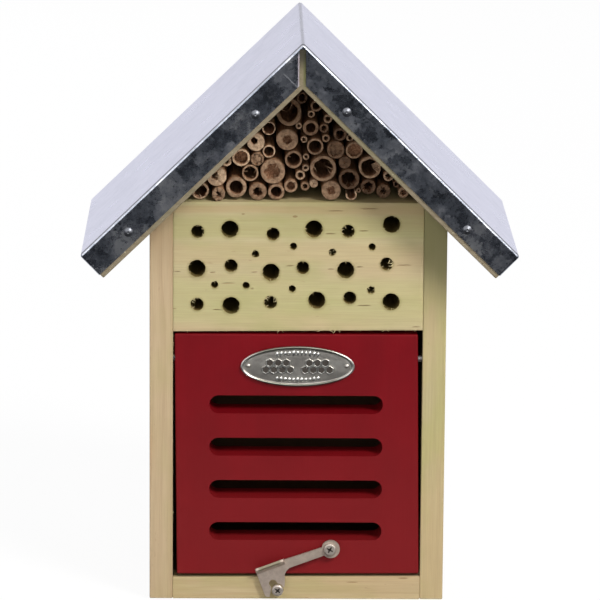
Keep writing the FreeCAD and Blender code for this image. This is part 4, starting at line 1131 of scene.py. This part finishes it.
def inset_corners(distance):
    corners = [Vector(corner[:2]) for corner in OUTLINE]
    result = []
    for i, corner in enumerate(corners):
        before = (corner - corners[i - 1]).normalized()
        after = (corners[(i + 1) % len(corners)] - corner).normalized()
        normal_before, normal_after = Vector((-before.y, before.x)), Vector((-after.y, after.x))
        miter = (normal_before + normal_after) / (1.0 + normal_before.dot(normal_after))
        result.append(corner + miter * distance)
    return result


def block_sides(shell):
    """Sides and back of the block. Returns start and count of the front ring."""
    count = sum(corner[2] for corner in OUTLINE)
    last = None
    for inset, y, rough in BLOCK_RINGS:
        corners = inset_corners(inset)
        points = []
        for i, (_, _, steps, push_x, push_z) in enumerate(OUTLINE):
            for k in range(steps):
                spot = corners[i].lerp(corners[(i + 1) % len(corners)], k / steps)
                wear = rough * abs(perlin(spot.x * 0.9, spot.y * 0.9, 3.0))
                if k == 0:
                    wear *= 0.3
                points.append((spot.x + wear * push_x, y, spot.y + wear * push_z))
        ring = shell.add(points)
        if last is not None:
            shell.bridge(last, ring, count, WOOD, flip=True)
        last = ring
    shell.face(range(last, last + count), WOOD)
    return 0, count


def rim_wear(number, radius, angle):
    """Outward raggedness of a hole's rim at an angle."""
    cos, sin = math.cos(angle), math.sin(angle)
    wear = 0.09 * radius ** 0.5 * perlin(cos * 2.2 + number * 7, sin * 2.2, 1.0)
    wear += 0.13 * abs(perlin(cos * 6 + number * 3, sin * 6, 5.0))
    wear += 0.10 * perlin(cos * 11 + number * 5, sin * 11, 9.0)
    for hole, chip_angle, half_width, depth in CHIPS:
        away = (math.degrees(angle) - chip_angle + 180) % 360 - 180
        if hole == number and abs(away) < half_width:
            wear += (depth * (0.5 + 0.5 * math.cos(PI * away / half_width))
                     * (0.7 + 0.5 * perlin(angle * 9, number, 2.0)))
    return wear


def drill(shell, number, x, z, radius):
    """One blind hole. Returns start and count of its rim."""
    count = 52 if radius > 3.5 else (44 if radius > 2 else 28)
    bottom = 15.0 if radius > 2 else -20.0
    # y, widening, share of the rim's wear, slot of the band in front
    profile = [(FRONT_Y, 0.10, 1.0, WOOD), (-58.9, 0.02, 0.8, WOOD), (-58.6, 0.0, 0.5, DRILL),
               (-57.9, 0.0, 0.25, DRILL), (-56.5, 0.0, 0.1, DRILL), (-52.0, 0.0, 0.05, DRILL),
               (-40.0, 0.0, 0.0, DRILL), (bottom, 0.0, 0.0, DRILL)]
    rim = last = len(shell.points)
    for y, widening, share, slot in profile:
        points = []
        for i in range(count):
            angle = 2 * PI * i / count
            reach = radius + widening + share * rim_wear(number, radius, angle)
            points.append(around(x, z, reach, angle, y))
        ring = shell.add(points)
        if ring != rim:
            shell.bridge(last, ring, count, slot)
        last = ring
    shell.fan(last, count, (x, bottom + 0.6 * radius, z), DRILL)
    return rim, count


def clear_of_holes(x, z, margin):
    return all(math.hypot(x - hole_x, z - hole_z) > radius + margin
               for hole_x, hole_z, radius in HOLES)


def cut_check(shell, rnd, number, x0, z0, x1, z1):
    """A shallow lens-shaped groove. Returns start and count, or None if holes leave no room."""
    x0, x1 = max(x0, -58.0), min(x1, 58.0)
    half_height = 0.13 + 0.10 * rnd.random()
    steps = max(6, int((x1 - x0) / 0.7))
    stations = []                           # x, lower z, upper z
    for i in range(steps + 1):
        t = i / steps
        x = x0 + (x1 - x0) * t
        z = z0 + (z1 - z0) * t + 0.22 * perlin(x * 0.5, number * 3.0, 0)
        half = (half_height * math.sin(PI * clamp(t, 0.04, 0.96))
                * (0.8 + 0.5 * perlin(x * 1.3, number, 7.0)))
        stations.append((x, z - half, z + half))

    def clear(station, margin):
        x, low, high = station
        return clear_of_holes(x, low, margin) and clear_of_holes(x, high, margin)

    if not all(clear(station, 0.35) for station in stations):
        stations = [station for station in stations if clear(station, 0.5)]
        if len(stations) < 4:
            return None
    outline = [(x, low) for x, low, _ in stations] + [(x, high) for x, _, high in stations[::-1]]
    count, half_count = len(outline), len(stations)
    top = shell.add([(x, FRONT_Y, z) for x, z in outline])
    sunk = []
    for i, (x, z) in enumerate(outline):
        opposite = count - 1 - i
        middle = (z + outline[opposite][1]) / 2
        t = clamp(min(i, opposite) / max(1, half_count - 1), 0.06, 0.94)
        depth = 0.9 * math.sin(PI * t)
        sunk.append((x, FRONT_Y + 0.03 + 0.42 * depth, middle + (z - middle) * 0.25))
    bottom = shell.add(sunk)
    shell.bridge(top, bottom, count, WOOD)
    for i in range(half_count - 1):
        shell.face((bottom + i, bottom + i + 1, bottom + count - 2 - i, bottom + count - 1 - i),
                   WOOD)
    return top, count


def in_polygon(x, z, polygon):
    inside = False
    for (ax, az), (bx, bz) in zip(polygon, polygon[-1:] + polygon[:-1]):
        if (az > z) != (bz > z) and x < (bx - ax) * (z - az) / (bz - az) + ax:
            inside = not inside
    return inside


def fill_front(shell, rnd, outline, rims, checks):
    """Triangulates the front face between the outline, the hole rims and the checks."""
    spots, sources, edges = [], [], []      # sources: shell point of each spot, or None
    polygons = []
    for start, count in [outline] + rims + checks:
        first = len(spots)
        polygon = [(x, z) for x, _, z in shell.points[start:start + count]]
        polygons.append(polygon)
        spots += [Vector(corner) for corner in polygon]
        sources += range(start, start + count)
        edges += [(first + i, first + (i + 1) % count) for i in range(count)]
    rim_polygons = polygons[1:1 + len(rims)]
    check_polygons = polygons[1 + len(rims):]

    def beside_check(x, z):
        return any(min(polygon)[0] - 0.5 < x < max(polygon)[0] + 0.5
                   and abs(z - polygon[0][1]) < 0.9 for polygon in check_polygons)

    # jittered grid of free points, clear of every edge
    for row in range(35):
        for column in range(58):
            x = -57.6 + row % 2 + 2.0 * column + rnd.uniform(-0.3, 0.3)
            z = 131.5 + 1.75 * row + rnd.uniform(-0.3, 0.3)
            if (clear_of_holes(x, z, 0.75) and 131.9 + edge_rise(x) < z < 191.9
                    and (x > -57.2 or z < 190.4) and not beside_check(x, z)):
                spots.append(Vector((x, z)))
                sources.append(None)
    places, _, triangles, origins, _, _ = delaunay_2d_cdt(
        spots, edges, [list(range(outline[1]))], 1, 1e-5)

    indices = []
    for place, origin in zip(places, origins):
        source = sources[origin[0]] if origin else None
        if source is None:
            y = FRONT_Y + 0.03 + 0.03 * perlin(place.x * 0.05, place.y * 0.4, 0.0)
            source = shell.add([(place.x, y, place.y)])
        indices.append(source)
    for triangle in triangles:
        corners = [places[i] for i in triangle]
        x = sum(corner.x for corner in corners) / len(corners)
        z = sum(corner.y for corner in corners) / len(corners)
        in_hole = any(abs(x - hole_x) < radius + 1.2 and abs(z - hole_z) < radius + 1.2
                      and in_polygon(x, z, rim)
                      for (hole_x, hole_z, radius), rim in zip(HOLES, rim_polygons))
        if in_hole or any(in_polygon(x, z, polygon) for polygon in check_polygons):
            continue
        area = sum(a.x * b.y - b.x * a.y for a, b in zip(corners, corners[1:] + corners[:1]))
        face = [indices[i] for i in triangle]
        shell.face(face if area > 0 else face[::-1], WOOD)


def tear(shell, x, z, degrees, length, radius, lift=0.25, curl=0.3):
    """One torn strand that starts on the front face."""
    dx, dz = math.cos(math.radians(degrees)), math.sin(math.radians(degrees))
    shell.fibre((x, -58.85, z),
                (x + dx * length * 0.5 - dz * length * curl, FRONT_Y - lift,
                 z + dz * length * 0.5 + dx * length * curl),
                (x + dx * length, FRONT_Y - lift * 0.6, z + dz * length), radius, TORN)


def tear_fibres(shell, rnd):
    """Torn fibres round the holes and along the lower edge."""
    for x, z, radius in HOLES:
        for _ in range(8 if radius > 2 else 1):
            degrees = rnd.uniform(0, 360)
            start_x, _, start_z = around(x, z, radius + 0.15, math.radians(degrees), FRONT_Y)
            tear(shell, start_x, start_z, degrees=degrees + 180 + rnd.uniform(-70, 70),
                 length=rnd.uniform(0.4, 1.2), radius=rnd.uniform(0.05, 0.12), lift=0.12,
                 curl=rnd.uniform(-0.3, 0.3))
    for strand in FACE_STRANDS:
        tear(shell, *strand)
    for x, degrees, length, radius in EDGE_STRANDS:
        tear(shell, x, 131.0 + edge_rise(x), degrees, length, radius, lift=0.15, curl=0.12)
    for _ in range(26):
        x = rnd.uniform(-57, 57)
        tear(shell, x, 130.95 + edge_rise(x), degrees=270 + rnd.uniform(-60, 60),
             length=rnd.uniform(0.25, 0.7), radius=rnd.uniform(0.04, 0.08), lift=0.08, curl=0.2)


def build_block():
    rnd = random.Random(77)
    shell = Shell()
    outline = block_sides(shell)
    rims = [drill(shell, number, *hole) for number, hole in enumerate(HOLES)]
    checks = [cut_check(shell, rnd, number, *check) for number, check in enumerate(CHECKS)]
    fill_front(shell, rnd, outline, rims, [check for check in checks if check])
    tear_fibres(shell, rnd)
    sharpen(shell.make("drilled_block", [BLOCK, DRILLED, FIBRE], "carcass", "green_pine",
                       "nest_block"), 32)


build_block()


# ------------------------------------------------------------------ splinters of the opening
def build_splinters():
    """Groups of three splinters up the left edge of the door opening."""
    rnd = random.Random(31)
    shell = Shell()
    # z, size
    groups = [(128.9, 1.1), (126.4, 0.9), (124.1, 1.4), (121.6, 1.0), (119.2, 1.2), (113.0, 0.7),
              (104.5, 0.6), (91.0, 0.5), (77.5, 0.6), (63.2, 1.1), (55.0, 0.5), (42.6, 1.1),
              (39.0, 0.6), (27.0, 0.5)]
    x = -59.25
    for group_z, size in groups:
        for _ in range(3):
            angle = math.radians(rnd.uniform(-70, 70))
            length = size * rnd.uniform(0.6, 1.1)
            z = group_z + rnd.uniform(-0.7, 0.7)
            y = rnd.uniform(-58.9, -58.2)
            dx, dz = math.cos(angle), math.sin(angle)
            shell.fibre((x, y, z),
                        (x + dx * length * 0.5, y - 0.15,
                         z + dz * length * 0.5 + rnd.uniform(-0.2, 0.2)),
                        (x + dx * min(length, 1.0), y, z + dz * length), rnd.uniform(0.06, 0.15))
    shell.make("opening_splinters", [FIBRE], "carcass", "pine")


build_splinters()

# ------------------------------------------------------------------ badge
FIELD, RELIEF, RECESS, RIM = range(4)       # material slots of the badge
BADGE_Z = 114.1
BADGE_HALF_WIDTH, BADGE_HALF_HEIGHT = 27.0, 9.75
CELL_PITCH = 3.84
# inset, y, slot of the band: out from the back, over the raised rim, down to the field
RIM_PROFILE = [
    (0.12, FRONT_Y, RIM), (0.0, -59.15, RIM), (0.0, -60.05, RIM), (0.1, -60.28, RIM),
    (0.3, -60.44, RIM), (0.6, -60.5, RIM), (0.9, -60.45, RIM), (1.12, -60.3, RIM),
    (1.28, -60.02, RIM), (1.36, -59.83, FIELD), (1.6, -59.76, FIELD), (2.0, -59.78, FIELD),
    (2.5, -59.82, FIELD)]
# radius, y
CELL_WALL = [(2.22, -59.7), (2.19, -60.08), (2.08, -60.31), (1.86, -60.33), (1.68, -60.1),
             (1.62, -59.88), (1.5, -59.86)]
CELL_FLOOR = [(1.64, -59.83), (1.5, -59.875), (0.8, -59.88)]
BEAD = [(0.80, -59.7), (0.77, -59.95), (0.64, -60.2), (0.38, -60.36), (0.14, -60.42)]


def badge_plate(shell):
    """Oval plate with a raised rim and a slightly uneven field."""
    count, field_y = 168, -59.84
    last = None
    for inset, y, slot in RIM_PROFILE:
        ring = shell.add(oval(0.0, BADGE_Z, BADGE_HALF_WIDTH - inset, BADGE_HALF_HEIGHT - inset,
                              y, count))
        if last is not None:
            shell.bridge(last, ring, count, slot)
        last = ring
    for share in (0.9, 0.78, 0.66, 0.54, 0.42, 0.3, 0.18, 0.08):
        points = oval(0.0, BADGE_Z, (BADGE_HALF_WIDTH - inset) * share,
                      (BADGE_HALF_HEIGHT - inset) * share, field_y, count)
        ring = shell.add([(x, y + 0.03 * perlin(x * 0.35, z * 0.35, 4.0), z)
                          for x, y, z in points])
        shell.bridge(last, ring, count, FIELD)
        last = ring
    shell.fan(last, count, (0.0, field_y, BADGE_Z), FIELD)
    shell.face(range(count - 1, -1, -1), FIELD)


def lathe(shell, x, z, profile, count, turn, slot, wide=1.0, tall=1.0, tip_y=None):
    """Turns a profile of radius and y about a line along Y, closed at tip_y if given."""
    last = None
    for radius, y in profile:
        ring = shell.add(oval(x, z, radius * wide, radius * tall, y, count, turn))
        if last is not None:
            shell.bridge(last, ring, count, slot)
        last = ring
    if tip_y is not None:
        shell.fan(last, count, (x, tip_y, z), slot)


def build_badge():
    shell = Shell()
    badge_plate(shell)
    # two small combs of six-sided cells: four cells below, three above
    turn = math.radians(30)
    for comb_x in (-9.3, 9.3):
        for cells, dz in ((4, -1.66), (3, 1.66)):
            for k in range(cells):
                x, z = comb_x + (k - (cells - 1) / 2) * CELL_PITCH, BADGE_Z + dz
                lathe(shell, x, z, CELL_WALL, 6, turn, RELIEF)
                lathe(shell, x, z, CELL_FLOOR, 6, turn, RECESS, tip_y=-59.89)
    # curved rows of eleven beads above and below
    for i in range(11):
        for side in (-1, 1):
            z = BADGE_Z + side * (6.5 - 0.026 * (i - 5) ** 2)
            tall = 1.30 + 0.35 * ((i * 7 + (side > 0) * 3) % 4) / 3
            lathe(shell, (i - 5) * 1.95, z, BEAD, 12, 0.2 * i, RELIEF,
                  wide=0.95, tall=tall, tip_y=-60.43)
    sharpen(shell.make("badge_relief", [BADGE, BADGE_RELIEF, BADGE_RECESS, BADGE_RIM], "door",
                       "badge_metal", "badge_plate"), 50)


build_badge()


# ------------------------------------------------------------------ floor, light, camera (metres)
def build_floor():
    """Pale floor that the camera sees as almost pure white."""
    cells, half = 24, 6.0
    row = cells + 1
    points = [(-half + 2 * half * i / cells, -half + 2 * half * j / cells, 0.0)
              for j in range(row) for i in range(row)]
    faces = [(j * row + i, j * row + i + 1, (j + 1) * row + i + 1, (j + 1) * row + i)
             for j in range(cells) for i in range(cells)]
    mesh = bpy.data.meshes.new("floor")
    mesh.from_pydata(points, [], faces)
    floor = bpy.data.objects.new("floor", mesh)
    floor.location.z = -0.0004
    scene.collection.objects.link(floor)

    mat = Material("pale_floor")
    cloud = mat.noise(mat.place * 0.004, detail=3.0)
    tone = mat.mix(cloud, (0.84, 0.84, 0.84, 1), (0.88, 0.88, 0.885, 1))
    mat.finish(color=tone, rough=0.7, spec=0.2)
    glow = mat.add("ShaderNodeEmission")
    mat.fill(glow, [(1.0, 1.0, 1.0, 1.0), 1.02])
    blend = mat.add("ShaderNodeMixShader")
    seen = mat.output("ShaderNodeLightPath", "Is Camera Ray")
    mat.fill(blend, [seen * 0.92, Value(mat, mat.shader.outputs[0]), Value(mat, glow.outputs[0])])
    mat.put(mat.surface, Value(mat, blend.outputs[0]))
    mesh.materials.append(mat.data)
    floor.visible_glossy = False


def build_world():
    """White to the camera, soft grey light, and a banded studio in reflections."""
    world = bpy.data.worlds.new("studio")
    scene.world = world
    world.use_nodes = True
    nodes = Nodes(world.node_tree)
    surface = nodes.add("ShaderNodeOutputWorld").inputs[0]
    background = nodes.add("ShaderNodeBackground")
    nodes.put(surface, Value(nodes, background.outputs[0]))
    _, y, z = nodes.split(nodes.output("ShaderNodeTexCoord", "Generated"))

    def bands(direction, stops):
        """Grey or coloured bands placed by a direction component from -1 to 1."""
        factor = nodes.math("MULTIPLY_ADD", direction, 0.5, 0.5)
        return nodes.ramp(factor, [((at + 1) / 2, tone) for at, tone in stops], mode="EASE")

    back = bands(z, [(-1, 0.5), (-0.2, (0.86, 0.87, 0.96, 1.0)), (0.11, (0.92, 0.92, 1.02, 1.0)),
                     (0.20, 0.38), (0.28, 0.14), (0.38, 0.12), (0.46, 1.18), (1.0, 0.98)])
    front = bands(z, [(-1, 0.03), (-0.15, (0.030, 0.032, 0.037, 1.0)), (0.05, 0.05), (0.26, 0.5),
                      (0.42, 1.25), (1.0, 1.0)])
    behind = bands(y, [(-1, 0.0), (-0.25, 0.0), (0.30, 1.0), (1.0, 1.0)])
    studio = nodes.mix(behind, front, back)
    rays = nodes.add("ShaderNodeLightPath").outputs
    light = nodes.mix(Value(nodes, rays["Is Glossy Ray"]), (0.32, 0.32, 0.34, 1), studio)
    seen = nodes.mix(Value(nodes, rays["Is Camera Ray"]), light, (1, 1, 1, 1))
    nodes.put(background.inputs[0], seen)


def disk_light(name, place, target_z, size, power, color=(1, 1, 1), glossy=True):
    """A disk light aimed at a point on the vertical axis of the frame."""
    data = bpy.data.lights.new(name, "AREA")
    data.shape = "DISK"
    data.size = size
    data.energy = power
    data.color = color
    light = bpy.data.objects.new(name, data)
    light.location = place
    aim = Vector((0, 0, target_z)) - Vector(place)
    light.rotation_euler = aim.to_track_quat("-Z", "Y").to_euler()
    scene.collection.objects.link(light)
    light.visible_glossy = glossy


def build_camera():
    """Long lens in front of the house, looking slightly down."""
    pitch, yaw, roll = 0.2092710, 0.0125358, 0.0072132      # radians
    forward = Vector((math.sin(yaw) * math.cos(pitch), math.cos(yaw) * math.cos(pitch),
                      -math.sin(pitch)))
    level = Vector((math.cos(yaw), -math.sin(yaw), 0.0))
    upright = level.cross(forward)
    right = level * math.cos(roll) + upright * math.sin(roll)
    up = upright * math.cos(roll) - level * math.sin(roll)
    data = bpy.data.cameras.new("camera")
    data.sensor_width = 36.0
    data.lens = 262.90542
    data.clip_start, data.clip_end = 0.05, 60.0
    camera = bpy.data.objects.new("camera", data)
    turn = Matrix((right, up, -forward)).transposed().to_4x4()
    camera.matrix_world = Matrix.Translation(Vector((-0.024445, -2.078626, 0.575038))) @ turn
    scene.collection.objects.link(camera)
    scene.camera = camera


build_floor()
build_world()
disk_light("key", (1.18, -1.56, 1.75), target_z=0.14, size=0.75, power=57.0,
           color=(1.0, 0.985, 0.96))
disk_light("fill", (-1.5, -1.9, 0.8), target_z=0.12, size=1.6, power=9.0, color=(0.97, 0.98, 1.0))
disk_light("front", (0.10, -2.30, 0.62), target_z=0.14, size=0.55, power=7.0,
           color=(1.0, 0.99, 0.97), glossy=False)
disk_light("rear", (-0.6, 1.8, 1.2), target_z=0.15, size=1.4, power=10.0, glossy=False)
build_camera()

scene.view_settings.view_transform = "Standard"
scene.view_settings.look = "None"
scene.view_settings.exposure = 0.0
scene.view_settings.gamma = 1.0
